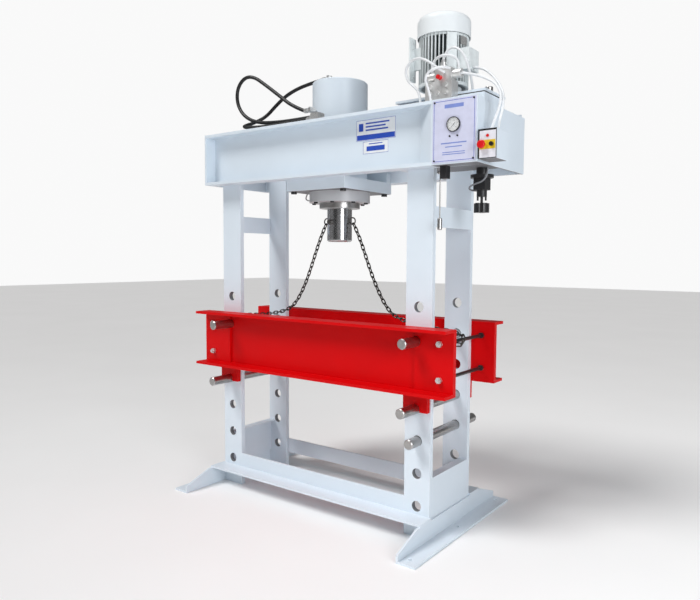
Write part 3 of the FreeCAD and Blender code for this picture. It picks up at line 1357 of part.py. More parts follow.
def creep_knob():
    """Lobed hand knob on the spindle."""
    top = creep_body_bottom() - CREEP_SPINDLE_LENGTH + 10
    knob = creep_rod(CREEP_KNOB_RADIUS, top - CREEP_KNOB_HEIGHT + 10, top)
    for k in range(CREEP_LOBES):
        angle = 2 * math.pi * k / CREEP_LOBES
        reach = CREEP_KNOB_RADIUS * 1.2
        notch = creep_rod(CREEP_KNOB_RADIUS * 0.42, top - CREEP_KNOB_HEIGHT, top + 1,
                          reach * math.cos(angle), reach * math.sin(angle))
        knob = knob.cut(notch)
    spindle = creep_rod(CREEP_SPINDLE / 2, top - 5, creep_body_bottom() + 38)
    return fused([knob, spindle])


def build_levers():
    save("lever_valve", [lever_valve()])
    save("hand_lever", [hand_lever()])
    save("creep_valve", [creep_valve()])
    save("creep_knob", [creep_knob()])


# ---------------------------------------------------------------- runs everything
os.makedirs("parts", exist_ok=True)
build_frame()
build_head()
build_cylinder()
build_chains()
build_table()
build_panel()
build_tank()
build_motor()
build_hydraulics()
build_switches()
build_levers()
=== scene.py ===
"""Looks of a hydraulic workshop press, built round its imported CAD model. Metres, +Z up."""
import json
import math

import bmesh
import bpy
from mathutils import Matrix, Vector


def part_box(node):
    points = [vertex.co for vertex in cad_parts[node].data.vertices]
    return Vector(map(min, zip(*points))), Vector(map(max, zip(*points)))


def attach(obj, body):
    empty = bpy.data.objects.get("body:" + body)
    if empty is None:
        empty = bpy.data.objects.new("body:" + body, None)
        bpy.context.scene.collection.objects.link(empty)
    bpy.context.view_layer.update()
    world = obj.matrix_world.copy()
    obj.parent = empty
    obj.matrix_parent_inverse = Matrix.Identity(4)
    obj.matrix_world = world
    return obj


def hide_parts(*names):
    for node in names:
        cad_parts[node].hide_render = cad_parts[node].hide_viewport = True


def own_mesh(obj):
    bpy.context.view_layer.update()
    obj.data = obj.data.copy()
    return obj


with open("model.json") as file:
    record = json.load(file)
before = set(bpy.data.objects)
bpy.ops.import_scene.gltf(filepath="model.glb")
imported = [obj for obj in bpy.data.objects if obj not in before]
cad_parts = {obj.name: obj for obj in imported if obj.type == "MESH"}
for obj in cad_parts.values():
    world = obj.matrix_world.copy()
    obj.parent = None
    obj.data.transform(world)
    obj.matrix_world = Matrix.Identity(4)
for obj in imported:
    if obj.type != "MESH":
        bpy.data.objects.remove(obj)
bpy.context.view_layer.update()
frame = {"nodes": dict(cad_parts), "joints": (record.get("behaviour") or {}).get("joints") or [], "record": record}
nodes = frame["nodes"]


# ---------------------------------------------------------------- camera, light and floor
CAMERA_PLACE = (2.4774, -3.1662, 1.5115)
CAMERA_YAW = math.radians(35.84)
CAMERA_PITCH = math.radians(-3.81)
CAMERA_ROLL = math.radians(0.385)
LENS = 33.26
SHIFT_X = -0.0202
WALLS = 0.25
BACKDROP = (0.95, 0.95, 0.95)
# Brightness of the studio walls by bearing, as a share of the way from -180 to 180 degrees: two dark flags.
FLAGS = [(0.0, 1.0), (0.17, 1.0), (0.21, 0.22), (0.27, 0.22), (0.31, 1.0), (0.40, 1.0),
         (0.44, 0.24), (0.52, 0.95)]


def make_camera():
    data = bpy.data.cameras.new("camera")
    data.sensor_width = 36.0
    data.lens = LENS
    data.shift_x = SHIFT_X
    camera = bpy.data.objects.new("camera", data)
    bpy.context.scene.collection.objects.link(camera)
    across = Vector((math.cos(CAMERA_YAW), math.sin(CAMERA_YAW), 0))
    ahead = Vector((-math.sin(CAMERA_YAW) * math.cos(CAMERA_PITCH),
                    math.cos(CAMERA_YAW) * math.cos(CAMERA_PITCH), math.sin(CAMERA_PITCH)))
    up = across.cross(ahead)
    right = across * math.cos(CAMERA_ROLL) + up * math.sin(CAMERA_ROLL)
    top = up * math.cos(CAMERA_ROLL) - across * math.sin(CAMERA_ROLL)
    camera.rotation_mode = "QUATERNION"
    turn = camera.matrix_world.to_3x3()
    turn.col[0], turn.col[1], turn.col[2] = right, top, -ahead
    camera.rotation_quaternion = turn.to_quaternion()
    camera.location = CAMERA_PLACE
    bpy.context.scene.camera = camera


def area_light(name, place, target, size, power, colour=(1, 1, 1)):
    data = bpy.data.lights.new(name, "AREA")
    data.shape = "RECTANGLE"
    data.size, data.size_y = size
    data.energy = power
    data.color = colour
    lamp = bpy.data.objects.new(name, data)
    bpy.context.scene.collection.objects.link(lamp)
    lamp.location = place
    lamp.rotation_mode = "QUATERNION"
    lamp.rotation_quaternion = (Vector(target) - Vector(place)).to_track_quat("-Z", "Y")


def make_stage():
    """Pale floor, white surroundings with two dark flags, a wide sun and two soft boxes."""
    mesh = bpy.data.meshes.new("floor")
    reach = 30.0
    mesh.from_pydata([(-reach, -reach, 0), (reach, -reach, 0), (reach, reach, 0), (-reach, reach, 0)], [],
                     [(0, 1, 2, 3)])
    floor = bpy.data.objects.new("floor", mesh)
    bpy.context.scene.collection.objects.link(floor)
    floor.location.z = -0.0006
    mesh.materials.append(floor_finish())

    world = bpy.data.worlds.new("studio")
    bpy.context.scene.world = world
    world.use_nodes = True
    tree = Tree(world.node_tree)
    tree.nodes.clear()
    way = tree.add("ShaderNodeTexCoord").outputs["Generated"]
    parts = tree.add("ShaderNodeSeparateXYZ", Vector=way)
    height = tree.ramp(parts.outputs["Z"], [(0.0, 0.86), (0.35, 0.62), (0.9, 1.0)])
    bearing = tree.sum("ARCTAN2", parts.outputs["Y"], parts.outputs["X"])
    turn = tree.span(bearing, -math.pi, math.pi)
    flags = tree.ramp(turn, FLAGS)
    walls = tree.mix(1.0, height, flags, "MULTIPLY")
    walls = tree.mix(1.0, walls, (WALLS, WALLS, 1.02 * WALLS), "MULTIPLY")
    seen = tree.add("ShaderNodeLightPath").outputs["Is Camera Ray"]
    colour = tree.mix(seen, walls, BACKDROP)
    background = tree.add("ShaderNodeBackground", Color=colour, Strength=1.0)
    output = tree.add("ShaderNodeOutputWorld")
    tree.links.new(background.outputs[0], output.inputs["Surface"])

    sun = bpy.data.lights.new("key", "SUN")
    sun.energy = 2.15
    sun.angle = math.radians(24)
    sun.color = (1.0, 0.99, 0.975)
    lamp = bpy.data.objects.new("key", sun)
    bpy.context.scene.collection.objects.link(lamp)
    lamp.rotation_mode = "QUATERNION"
    lamp.rotation_quaternion = Vector((2.0, 3.6, -5.2)).to_track_quat("-Z", "Y")
    area_light("side", (5.4, -2.6, 2.6), (0.4, 0, 1.3), (2.4, 3.0), 165, (0.95, 0.975, 1.0))
    area_light("overhead", (0.2, -0.2, 6.2), (0, 0, 1.2), (3.4, 2.6), 40)


# ---------------------------------------------------------------- shader helpers
DIRT = (0.10, 0.09, 0.08)
FIN_GAP, FIN_TIP = 0.112, 0.128     # from the motor's axis: painted shade in the gaps up to the first, pale from the second


class Tree:
    """Short calls for building a node tree."""

    def __init__(self, tree):
        self.tree, self.nodes, self.links = tree, tree.nodes, tree.links

    def add(self, kind, **sockets):
        node = self.nodes.new(kind)
        for name, value in sockets.items():
            self.put(node.inputs[name.replace("_", " ")], value)
        return node

    def put(self, socket, value):
        if isinstance(value, bpy.types.NodeSocket):
            self.links.new(value, socket)
        elif isinstance(value, tuple) and len(value) == 3 and socket.type == "RGBA":
            socket.default_value = (*value, 1)
        else:
            socket.default_value = value

    def place(self):
        return self.add("ShaderNodeTexCoord").outputs["Object"]

    def stretched(self, source, scale):
        return self.add("ShaderNodeMapping", Vector=source, Scale=scale).outputs[0]

    def noise(self, source, scale, detail=3.0, rough=0.55):
        return self.add("ShaderNodeTexNoise", Vector=source, Scale=scale, Detail=detail,
                        Roughness=rough).outputs["Fac"]

    def ramp(self, value, stops):
        node = self.add("ShaderNodeValToRGB", Fac=value)
        band = node.color_ramp
        while len(band.elements) < len(stops):
            band.elements.new(0.5)
        for element, (at, colour) in zip(band.elements, stops):
            element.position = at
            element.color = (*colour, 1) if isinstance(colour, tuple) else (colour, colour, colour, 1)
        return node.outputs["Color"]

    def mix(self, share, a, b, how="MIX"):
        node = self.nodes.new("ShaderNodeMix")
        node.data_type = "RGBA"
        node.blend_type = how
        for name, value in (("Factor_Float", share), ("A_Color", a), ("B_Color", b)):
            socket = next(s for s in node.inputs if s.identifier == name)
            self.put(socket, value)
        return next(s for s in node.outputs if s.identifier == "Result_Color")

    def sum(self, how, a, b=0.0, c=None):
        node = self.nodes.new("ShaderNodeMath")
        node.operation = how
        self.put(node.inputs[0], a)
        self.put(node.inputs[1], b)
        if c is not None:
            self.put(node.inputs[2], c)
        return node.outputs[0]

    def span(self, value, low, high, new_low=0.0, new_high=1.0):
        return self.add("ShaderNodeMapRange", Value=value, From_Min=low, From_Max=high, To_Min=new_low,
                        To_Max=new_high).outputs[0]

    def edges(self, radius):
        """1 near a sharp edge and 0 on open faces."""
        soft = self.nodes.new("ShaderNodeBevel")
        soft.samples = 4
        soft.inputs["Radius"].default_value = radius
        face = self.add("ShaderNodeNewGeometry").outputs["Normal"]
        dot = self.nodes.new("ShaderNodeVectorMath")
        dot.operation = "DOT_PRODUCT"
        self.links.new(soft.outputs[0], dot.inputs[0])
        self.links.new(face, dot.inputs[1])
        return self.span(dot.outputs["Value"], 0.995, 0.9)


def finish_named(name):
    """A new material: its tree and its shader, with no colour yet."""
    made = bpy.data.materials.new(name)
    made.use_nodes = True
    tree = Tree(made.node_tree)
    shader = next(n for n in tree.nodes if n.type == "BSDF_PRINCIPLED")
    return made, tree, shader


def bumped(tree, shader, height, strength, distance):
    node = tree.add("ShaderNodeBump", Height=height, Strength=strength, Distance=distance)
    tree.links.new(node.outputs[0], shader.inputs["Normal"])


def paint(name, colour, worn, rough=0.38, shine=0.45, marked=0.35):
    """Sprayed machine enamel: orange peel, faint unevenness, handling marks and thin paint on edges."""
    made, tree, shader = finish_named(name)
    place = tree.place()
    broad = tree.ramp(tree.noise(place, 2.3, 4), [(0.3, 0.955), (0.7, 1.0)])
    body = tree.mix(1.0, colour, broad, "MULTIPLY")
    scuffs = tree.noise(tree.stretched(place, (3, 3, 40)), 6.0, 6, 0.7)
    marks = tree.ramp(scuffs, [(0.66, 0.0), (0.78, marked)])
    body = tree.mix(marks, body, tuple(0.86 * c for c in colour))
    patches = tree.ramp(tree.noise(place, 35, 5), [(0.42, 0.15), (0.62, 0.8)])
    edge = tree.sum("MULTIPLY", tree.edges(0.003), patches)
    tree.put(shader.inputs["Base Color"], tree.mix(edge, body, worn))
    sheen = tree.span(tree.noise(place, 9, 5), 0.3, 0.7, rough - 0.06, rough + 0.1)
    tree.put(shader.inputs["Roughness"], sheen)
    shader.inputs["Specular IOR Level"].default_value = shine
    peel = tree.noise(place, 420, 2, 0.5)
    bumped(tree, shader, peel, 0.12, 0.0006)
    return made


def motor_casting(name, colour, painted_gap_shade):
    """Painted fins that are pale at their tips, with painted shade in the dark gaps between them."""
    made, tree, shader = finish_named(name)
    place = tree.place()
    low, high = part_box("fan_cover")
    parts = tree.add("ShaderNodeSeparateXYZ", Vector=place)
    x = tree.sum("SUBTRACT", parts.outputs["X"], (low.x + high.x) / 2)
    y = tree.sum("SUBTRACT", parts.outputs["Y"], (low.y + high.y) / 2)
    reach = tree.sum("SQRT", tree.sum("MULTIPLY_ADD", x, x, tree.sum("MULTIPLY", y, y)))
    depth = tree.span(reach, FIN_GAP, FIN_TIP)
    grime = tree.ramp(tree.noise(place, 18, 5), [(0.35, 0.88), (0.65, 1.0)])
    pale = tree.mix(1.0, colour, grime, "MULTIPLY")
    # Painted shade: nearer the axis than FIN_GAP the fins take the dark gap colour.
    tree.put(shader.inputs["Base Color"], tree.mix(depth, painted_gap_shade, pale))
    tree.put(shader.inputs["Roughness"], tree.span(tree.noise(place, 25, 4), 0.3, 0.7, 0.38, 0.55))
    bumped(tree, shader, tree.noise(place, 160, 4, 0.6), 0.25, 0.001)
    return made


def steel(name, colour, rough, grain, dirt=0.25, metallic=1.0):
    """Bare or plated steel: tool marks along grain, stains, and edges rubbed bright."""
    made, tree, shader = finish_named(name)
    place = tree.place()
    lines = tree.noise(tree.stretched(place, grain), 60, 4, 0.6)
    stain = tree.ramp(tree.noise(place, 14, 6, 0.65), [(0.45, 0.0), (0.75, dirt)])
    body = tree.mix(tree.span(lines, 0.25, 0.75, 0.0, 0.3), colour, tuple(0.55 * c for c in colour))
    body = tree.mix(stain, body, DIRT)
    bright = tuple(min(1.0, 1.25 * c) for c in colour)
    tree.put(shader.inputs["Base Color"], tree.mix(tree.edges(0.0015), body, bright))
    shader.inputs["Metallic"].default_value = metallic
    tree.put(shader.inputs["Roughness"], tree.span(lines, 0.2, 0.8, rough - 0.08, rough + 0.12))
    bumped(tree, shader, lines, 0.15, 0.0005)
    return made


def plastic(name, colour, rough=0.42, coat=0.0):
    """Moulded plastic or rubber with a fine grain."""
    made, tree, shader = finish_named(name)
    place = tree.place()
    tone = tree.ramp(tree.noise(place, 30, 4), [(0.3, 0.9), (0.7, 1.0)])
    tree.put(shader.inputs["Base Color"], tree.mix(1.0, colour, tone, "MULTIPLY"))
    sheen = tree.span(tree.noise(place, 60, 3), 0.3, 0.7, rough - 0.05, rough + 0.08)
    tree.put(shader.inputs["Roughness"], sheen)
    shader.inputs["Coat Weight"].default_value = coat
    bumped(tree, shader, tree.noise(place, 260, 3), 0.12, 0.0005)
    return made


def floor_finish():
    made, tree, shader = finish_named("floor")
    clouds = tree.noise(tree.place(), 0.8, 3)
    tone = tree.ramp(clouds, [(0.3, (0.91, 0.91, 0.912)), (0.7, (0.93, 0.93, 0.932))])
    tree.put(shader.inputs["Base Color"], tone)
    shader.inputs["Roughness"].default_value = 0.7
    return made


# ---------------------------------------------------------------- mesh helpers
def wear(node_name, finish):
    """Gives a CAD node its finish."""
    mesh = nodes[node_name].data
    mesh.materials.clear()
    mesh.materials.append(finish)


def piece(name, build, finish, body):
    """A new mesh object filled by build(bm), riding on a CAD body."""
    mesh = bpy.data.meshes.new(name)
    bm = bmesh.new()
    build(bm)
    bmesh.ops.recalc_face_normals(bm, faces=bm.faces)
    bm.to_mesh(mesh)
    bm.free()
    made = bpy.data.objects.new(name, mesh)
    bpy.context.scene.collection.objects.link(made)
    mesh.materials.append(finish)
    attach(made, body)
    return made


# ---------------------------------------------------------------- hoses
def cord_curve(name, points, diameter):
    data = bpy.data.curves.new(name, "CURVE")
    data.dimensions = "3D"
    spline = data.splines.new("NURBS")
    spline.points.add(len(points) - 1)
    for control, (x, y, z) in zip(spline.points, points):
        control.co = (x / 1000, y / 1000, z / 1000, 1)
    spline.order_u = 3
    spline.use_endpoint_u = True
    spline.resolution_u = 10
    data.bevel_depth = diameter / 2
    data.bevel_resolution = 5
    data.use_fill_caps = True
    made = bpy.data.objects.new(name, data)
    bpy.context.scene.collection.objects.link(made)
    return made


# Control points in millimetres, the same as the CAD routes have.
HOSES = {
    "pressure_hose_upper": ("pressure_hose_upper", 0.022, 1.294, "medium",
        ((-82, -70, 2582), (-230, -64, 2574), (-380, -60, 2538), (-480, -58, 2482),
         (-564, -62, 2420), (-614, -118, 2378), (-616, -200, 2346), (-568, -258, 2322),
         (-488, -268, 2310), (-400, -264, 2304), (-260, -268, 2303), (-140, -264, 2305),
         (-38, -264, 2307))),
    "pressure_hose_lower": ("pressure_hose_lower", 0.022, 1.436, "medium",
        ((-125.4, -181.7, 2382), (-220, -186, 2420), (-330, -190, 2500), (-440, -194, 2578),
         (-536, -198, 2642), (-616, -202, 2650), (-678, -206, 2592), (-680, -210, 2502),
         (-630, -216, 2424), (-548, -224, 2370), (-440, -232, 2338), (-300, -236, 2326),
         (-160, -238, 2322), (-38, -238, 2324))),
    "control_hose": ("control_hose", 0.009, 0.252, "medium",
        ((1046, -122, 1970), (1046, -128, 1928), (1022, -134, 1898), (982, -134, 1888), (946, -122, 1878),
         (926, -92, 1868), (930, -60, 1862), (951, -44, 1862))),
    "switch_conduit_outer": ("switch_conduits", 0.013, 0.494, "stiff",
        ((946, -112, 2478), (1000, -130, 2468), (1066, -166, 2424), (1126, -196, 2364), (1164, -214, 2296),
         (1168, -228, 2228), (1154, -236, 2170), (1148, -238, 2118))),
    "switch_conduit_inner": (None, 0.013, 0.431, "stiff",
        ((963, -263, 2417), (1022, -256, 2402), (1084, -250, 2378), (1140, -252, 2342), (1172, -260, 2286),
         (1166, -266, 2222), (1142, -268, 2166), (1128, -270, 2118))),
    "valve_conduit_left": ("valve_conduit_left", 0.013, 0.494, "stiff",
        ((880, -292, 2425), (868, -334, 2438), (818, -346, 2478), (756, -330, 2508),
         (694, -312, 2504), (656, -300, 2466), (670, -292, 2410), (716, -292, 2374),
         (742, -292, 2336), (744, -290, 2290))),
    "valve_conduit_front": (None, 0.013, 0.273, "stiff",
        ((910, -292, 2440), (906, -332, 2440), (866, -354, 2434), (820, -352, 2420), (798, -338, 2392),
         (804, -326, 2362), (814, -320, 2328), (818, -312, 2290))),
    "valve_conduit_right": ("valve_conduit_right", 0.013, 0.347, "stiff",
        ((859, -263, 2496), (876, -268, 2536), (920, -274, 2548), (966, -276, 2520),
         (990, -268, 2470), (994, -240, 2420), (990, -206, 2378), (988, -190, 2337))),
    "valve_conduit_top": (None, 0.013, 0.252, "stiff",
        ((800, -263, 2439), (796, -268, 2472), (822, -284, 2500), (876, -298, 2510), (930, -288, 2498),
         (950, -268, 2470), (944, -263, 2439))),
}


def make_hoses(finishes):
    for name, (node, diameter, length, stiffness, points) in HOSES.items():
        made = cord_curve(name + "_line", points, diameter)
        finish, slot = finishes[name]
        made.data.materials.append(finish)
        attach(made, "frame")
        if node:
            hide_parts(node)
        start = tuple(c / 1000 for c in points[0])


# ---------------------------------------------------------------- small printed and moulded details
def slab(bm, x, y, z, bevel=0.0):
    """A block between pairs of limits, in metres, with its edges bevelled."""
    made = bmesh.ops.create_cube(bm, size=1.0)["verts"]
    for vert in made:
        vert.co = Vector([(low + high) / 2 + share * (high - low)
                          for share, (low, high) in zip(vert.co, (x, y, z))])
    if bevel:
        edges = list({edge for vert in made for edge in vert.link_edges})
        bmesh.ops.bevel(bm, geom=edges, offset=bevel, segments=2, profile=0.6, affect="EDGES")


def lathe(bm, profile, centre, turns=40, axis="Y"):
    """Turns a profile of (distance along the axis, radius) about an axis through centre."""
    rings = []
    for along, radius in profile:
        ring = []
        for k in range(turns):
            angle = math.tau * k / turns
            flat = (radius * math.cos(angle), radius * math.sin(angle))
            offset = (flat[0], along, flat[1]) if axis == "Y" else (flat[0], flat[1], along)
            ring.append(bm.verts.new(Vector(centre) + Vector(offset)))
        rings.append(ring)
    for first, second in zip(rings, rings[1:]):
        for k in range(turns):
            bm.faces.new((first[k], first[(k + 1) % turns], second[(k + 1) % turns], second[k]))
    for ring in (rings[0], rings[-1]):
        bm.faces.new(ring)


def smooth(made, angle=35):
    for face in made.data.polygons:
        face.use_smooth = True
    made.data.set_sharp_from_angle(angle=math.radians(angle))
    return made


PRINT = 0.0003                  # how far printed fields stand off their plate
RIM = 0.0016                    # width of the line round a printed plate
PLATE_HEIGHTS = (0.112, 0.066)  # the upper and the lower plate
PLATE_WIDTH = 0.166             # the lower plate
TIE_ROD_HALF_NUT = 0.0173       # half the width of a tie rod's nut over its corners
NAMEPLATE_RADIUS = 0.1325       # the nameplate's outer face from the motor's axis
NAMEPLATE_BEARING = -10         # degrees round from +X
WRAP_REACH = 0.030              # links nearer to the tie rod's axis than this are wound round it


def make_gauge_face(white, black):
    low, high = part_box("gauge_glass")
    centre = ((low.x + high.x) / 2, 0, (low.z + high.z) / 2)
    radius = (high.x - low.x) / 2 - 0.0005
    floor_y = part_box("instrument_panel")[0].y
    front = floor_y - 2 * PRINT

    def dial(bm):
        lathe(bm, [(floor_y - PRINT / 2, radius), (front, radius)], centre, 64)

    piece("gauge_dial", dial, white, "frame")

    def marks(bm):
        for k in range(41):
            angle = math.radians(225 - 270 * k / 40)
            major = k % 5 == 0
            out = Vector((math.cos(angle), 0, math.sin(angle)))
            side = Vector((-math.sin(angle), 0, math.cos(angle))) * (0.0007 if major else 0.0003)
            inner, outer = radius * (0.78 if major else 0.86), radius * 0.94
            corners = []
            for y in (front, front - PRINT):
                for reach, way in ((inner, -1), (outer, -1), (outer, 1), (inner, 1)):
                    place = Vector(centre) + out * reach + side * way + Vector((0, y, 0))
                    corners.append(bm.verts.new(place))
            bm.faces.new(corners[4:])
            for j in range(4):
                bm.faces.new((corners[j], corners[(j + 1) % 4], corners[4 + (j + 1) % 4], corners[4 + j]))

    piece("gauge_marks", marks, black, "frame")
    for k in range(5):
        angle = math.radians(225 - 270 * k / 4)
        reach = radius * 0.60
        numeral(f"gauge_number_{k}", str(100 * k), 0.0075,
                (centre[0] + reach * math.cos(angle), front, centre[2] + reach * math.sin(angle)), black)


def numeral(name, words, size, place, finish):
    data = bpy.data.curves.new(name + "_text", "FONT")
    data.body = words
    data.size = size
    data.extrude = PRINT / 2
    data.align_x = "CENTER"
    data.align_y = "CENTER"
    source = bpy.data.objects.new(name + "_text", data)
    bpy.context.scene.collection.objects.link(source)
    bpy.context.view_layer.update()
    mesh = bpy.data.meshes.new_from_object(source.evaluated_get(bpy.context.evaluated_depsgraph_get()))
    bpy.data.objects.remove(source)
    made = bpy.data.objects.new(name, mesh)
    bpy.context.scene.collection.objects.link(made)
    made.rotation_euler = (math.pi / 2, 0, 0)
    made.location = place
    mesh.materials.clear()
    mesh.materials.append(finish)
    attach(made, "frame")


def make_print(blue, pale_blue):
    """Blank coloured fields: the panel's border line and the blocks on the panel and rating plates."""
    low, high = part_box("instrument_panel")
    face = low.y

    def border(bm):
        inset, line = 0.007, 0.0022
        x0, x1, z0, z1 = low.x + inset, high.x - inset, low.z + inset, high.z - inset
        y = (face - PRINT, face)
        slab(bm, (x0, x1), y, (z0, z0 + line))
        slab(bm, (x0, x1), y, (z1 - line, z1))
        slab(bm, (x0, x0 + line), y, (z0 + line, z1 - line))
        slab(bm, (x1 - line, x1), y, (z0 + line, z1 - line))

    piece("panel_border", border, blue, "frame")
    middle = (low.x + high.x) / 2

    def panel_fields(bm):
        for half, rise, tall in ((0.052, 0.118, 0.018), (0.070, -0.060, 0.006), (0.046, -0.078, 0.005),
                                 (0.062, -0.104, 0.004), (0.062, -0.114, 0.004)):
            z = (low.z + high.z) / 2 + rise
            slab(bm, (middle - half, middle + half), (face - PRINT, face), (z - tall / 2, z + tall / 2))

    piece("panel_fields", panel_fields, pale_blue, "frame")

    low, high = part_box("label_plates")
    face = low.y
    y = (face - PRINT, face)

    def plate_fields(bm):
        slab(bm, (low.x + 0.004, high.x - 0.004), y, (high.z - 0.108, high.z - 0.080))
        slab(bm, (low.x + 0.016, low.x + 0.046), y, (high.z - 0.060, high.z - 0.018))
        for k, half in enumerate((0.078, 0.066, 0.074)):
            z = high.z - 0.020 - 0.018 * k
            slab(bm, (low.x + 0.062, low.x + 0.062 + 2 * half), y, (z - 0.004, z + 0.004))
        middle_x = (low.x + high.x) / 2
        slab(bm, (middle_x - 0.060, middle_x + 0.060), y, (low.z + 0.014, low.z + 0.040))
        slab(bm, (middle_x - 0.045, middle_x + 0.045), y, (low.z + 0.050, low.z + 0.055))
        for x0, x1, z0, z1 in ((low.x, high.x, high.z - PLATE_HEIGHTS[0], high.z),
                               (middle_x - PLATE_WIDTH / 2, middle_x + PLATE_WIDTH / 2, low.z,
                                low.z + PLATE_HEIGHTS[1])):
            for a, b, c, d in ((x0, x1, z0, z0 + RIM), (x0, x1, z1 - RIM, z1),
                               (x0, x0 + RIM, z0 + RIM, z1 - RIM), (x1 - RIM, x1, z0 + RIM, z1 - RIM)):
                slab(bm, (a, b), y, (c, d))

    piece("plate_fields", plate_fields, blue, "frame")


def make_motor_plate(finish):
    """Blank metal nameplate on the motor's fins, above the terminal box."""
    low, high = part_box("fan_cover")
    axis = Vector(((low.x + high.x) / 2, (low.y + high.y) / 2, 0))
    radius = NAMEPLATE_RADIUS
    middle = math.radians(NAMEPLATE_BEARING)
    rise = low.z - 0.034

    def sheet(bm):
        rows = []
        for k in range(9):
            angle = middle + (k - 4) * math.radians(2.6)
            out = Vector((math.cos(angle), math.sin(angle), 0))
            rows.append([bm.verts.new(axis + out * reach + Vector((0, 0, z)))
                         for reach, z in ((radius, rise - 0.021), (radius, rise + 0.021),
                                          (radius - 0.0012, rise + 0.021), (radius - 0.0012, rise - 0.021))])
        for first, second in zip(rows, rows[1:]):
            for j in range(4):
                bm.faces.new((first[j], first[(j + 1) % 4], second[(j + 1) % 4], second[j]))
        bm.faces.new(rows[0])
        bm.faces.new(rows[-1])

    smooth(piece("motor_nameplate", sheet, finish, "frame"))


def wear_where(node_name, finish, test):
    """Gives finish to the faces of a CAD node whose centre passes the test."""
    mesh = nodes[node_name].data
    mesh.materials.append(finish)
    index = len(mesh.materials) - 1
    for face in mesh.polygons:
        if test(face.center, face.normal):
            face.material_index = index


def links_of(mesh):
    """Splits a chain's mesh into its links: a set of vertex numbers for each."""
    near = {v.index: [] for v in mesh.vertices}
    for edge in mesh.edges:
        a, b = edge.vertices
        near[a].append(b)
        near[b].append(a)
    left = set(near)
    while left:
        link, waiting = set(), [left.pop()]
        while waiting:
            at = waiting.pop()
            link.add(at)
            fresh = [other for other in near[at] if other in left]
            left.difference_update(fresh)
            waiting.extend(fresh)
        yield link


def make_chain(node, finish):
    """The CAD chain in two pieces: the hanging links, on a mesh of their own, and the wrap, which stays."""
    source = nodes[node].data
    slide = next(joint for joint in frame["joints"] if joint["name"] == "ram_slide")
    stroke = max(abs(limit) for limit in slide["range_m"])
    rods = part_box("tie_rods")
    rod_height = rods[1].z - TIE_ROD_HALF_NUT
    hanging = set()
    for link in links_of(source):
        if sum(source.vertices[v].co.z for v in link) / len(link) > rod_height + WRAP_REACH:
            hanging |= link
    for name, wanted in ((node + "_hanging", True), (node + "_wrap", False)):
        def cut(bm):
            bm.from_mesh(source)
            unwanted = [v for v in bm.verts if (v.index in hanging) != wanted]
            bmesh.ops.delete(bm, geom=unwanted, context="VERTS")

        made = smooth(piece(name, cut, finish, "frame"))
        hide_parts(node)
        if wanted:
            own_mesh(made)


# ---------------------------------------------------------------- making it
make_camera()

WHITE = (0.715, 0.795, 0.87)
white_paint = paint("pale_paint", WHITE, (0.88, 0.89, 0.91))
# Dark grey painted shade for downward faces, in place of the shade under the head.
underside_shade = paint("painted_underside_shade", (0.20, 0.205, 0.22), (0.26, 0.26, 0.27), rough=0.5)
flange_paint = paint("flange_paint", (0.56, 0.575, 0.60), (0.66, 0.66, 0.67), rough=0.34)
red_paint = paint("red_paint", (0.66, 0.0008, 0.0025), (0.72, 0.02, 0.02), rough=0.40, shine=0.12,
                  marked=0.1)
dark_steel = steel("dark_steel", (0.17, 0.165, 0.16), 0.40, (6, 6, 1))
turned_steel = steel("turned_steel", (0.50, 0.49, 0.48), 0.30, (1, 8, 8))
chrome = steel("polished_steel", (0.60, 0.60, 0.61), 0.15, (1, 1, 30), dirt=0.3)
zinc = steel("zinc_steel", (0.74, 0.74, 0.73), 0.30, (4, 4, 1), metallic=0.75)
chain_steel = steel("chain_steel", (0.085, 0.08, 0.075), 0.34, (4, 4, 4), dirt=0.15)
black_steel = paint("black_steel", (0.018, 0.018, 0.020), (0.10, 0.10, 0.10), rough=0.34)
black_rubber = plastic("black_rubber", (0.006, 0.006, 0.007), 0.44)
grey_rubber = plastic("grey_rubber", (0.22, 0.23, 0.25), 0.5)
white_plastic = plastic("white_plastic", (0.80, 0.82, 0.84), 0.4)
pale_plastic = plastic("pale_plastic", (0.76, 0.76, 0.82), 0.38)
black_plastic = plastic("black_plastic", (0.015, 0.015, 0.017), 0.36)
red_plastic = plastic("red_plastic", (0.66, 0.002, 0.004), 0.34, coat=0.1)
alloy = steel("machined_alloy", (0.80, 0.80, 0.79), 0.34, (2, 2, 1), dirt=0.12, metallic=0.65)
# Dark grey painted shade for the inner walls of the pin holes.
painted_hole_shade = paint("painted_hole_shade", (0.20, 0.21, 0.225), (0.30, 0.30, 0.31), rough=0.55)
panel_plastic = plastic("panel_plastic", (0.62, 0.635, 0.80), 0.42)
plate_white = plastic("plate_white", (0.86, 0.88, 0.90), 0.35)
cast_paint = paint("cast_alloy", (0.78, 0.82, 0.84), (0.86, 0.88, 0.89), rough=0.42)
# The dark third colour is painted shade for the gaps between the fins.
motor_paint = motor_casting("motor_paint", (0.78, 0.83, 0.84), (0.035, 0.05, 0.055))
FINISH = {
    "pale_paint": white_paint, "red_paint": red_paint, "dark_steel": dark_steel, "bright_steel": turned_steel,
    "polished_steel": chrome, "zinc_steel": zinc, "black_steel": black_steel, "black_rubber": black_rubber,
    "grey_rubber": grey_rubber, "white_plastic": white_plastic, "pale_plastic": pale_plastic,
    "black_plastic": black_plastic, "red_plastic": red_plastic, "cast_alloy": cast_paint,
}
for part in frame["record"]["subparts"]:
    if part["material_slot"] in FINISH:
        wear(part["node"], FINISH[part["material_slot"]])
wear("motor_body", motor_paint)
wear("cylinder_mount_plate", white_paint)
wear("cylinder_flange", flange_paint)
wear("switch_box", white_paint)
wear("valve_manifold", alloy)
wear("solenoid_valves", alloy)
wear("instrument_panel", panel_plastic)
for chain in ("chain_left", "chain_right"):
    wear(chain, chain_steel)
    make_chain(chain, chain_steel)
wear("label_plates", plate_white)
TABLE_FRONT = -0.24
wear_where("tie_rods", zinc, lambda c, n: c.y < TABLE_FRONT)
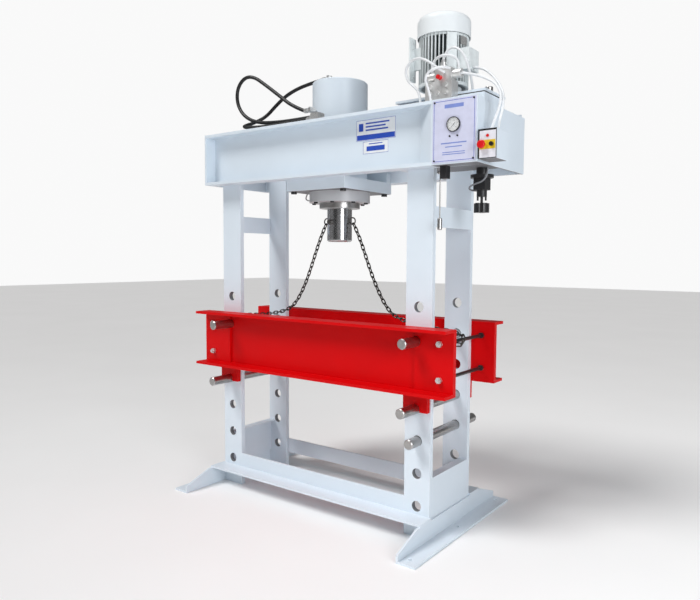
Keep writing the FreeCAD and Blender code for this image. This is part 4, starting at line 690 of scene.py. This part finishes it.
HOLE_RADIUS, HOLE_X, LOWEST_HOLE, HOLE_PITCH = 0.0295, 0.714, 0.169, 0.18


def in_pin_hole(c, n):
    step = round((c.z - LOWEST_HOLE) / HOLE_PITCH)
    away = math.hypot(abs(c.x) - HOLE_X, c.z - LOWEST_HOLE - HOLE_PITCH * step)
    return abs(n.y) < 0.1 and away < HOLE_RADIUS


# Painted shade inside the pin holes of the uprights.
for node in [name for name in nodes if name.startswith("upright")]:
    wear_where(node, painted_hole_shade, in_pin_hole)
# Painted shade: the downward faces at the head's right end and under the cylinder mount plate take the dark grey.
RIGHT_END = 0.8
for node in ("control_box", "oil_tank", "head_beam_front", "head_beam_back", "switch_box", "head_end_plates"):
    wear_where(node, underside_shade, lambda c, n: n.z < -0.9 and c.x > RIGHT_END)
wear_where("cylinder_mount_plate", underside_shade, lambda c, n: n.z < -0.9)
cartridge_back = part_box("instrument_panel")[0].y + 0.03
wear_where("solenoid_valves", red_plastic, lambda c, n: c.y < cartridge_back)

hose_finish = {name: (black_rubber, "black_rubber") if name.startswith("pressure") else
               (grey_rubber, "grey_rubber") if name == "control_hose" else (white_plastic, "white_plastic")
               for name in HOSES}
make_hoses(hose_finish)

print_blue = plastic("print_blue", (0.02, 0.075, 0.48), 0.4)
print_pale = plastic("print_pale", (0.20, 0.27, 0.62), 0.45)
yellow_plastic = plastic("yellow_plastic", (0.80, 0.55, 0.02), 0.4)
dial_white = plastic("dial_white", (0.86, 0.86, 0.85), 0.35)
make_gauge_face(dial_white, black_plastic)
make_print(print_blue, print_pale)
make_motor_plate(zinc)

plate_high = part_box("switch_plate")[1]
button_low, button_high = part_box("estop_button")
row = (button_low.z + button_high.z) / 2
PLATE_RAISED = 0.0021           # faces further forward than this are on the yellow plate or the lamp
YELLOW_HALF = 0.0225
LAMP_RISE = 0.03
raised = plate_high.y - PLATE_RAISED
wear_where("switch_plate", yellow_plastic, lambda c, n: abs(c.z - row) < YELLOW_HALF and c.y < raised)
wear_where("switch_plate", red_plastic, lambda c, n: c.z > row + LAMP_RISE and c.y < raised)
make_stage()
bpy.context.scene.view_settings.view_transform = "Standard"
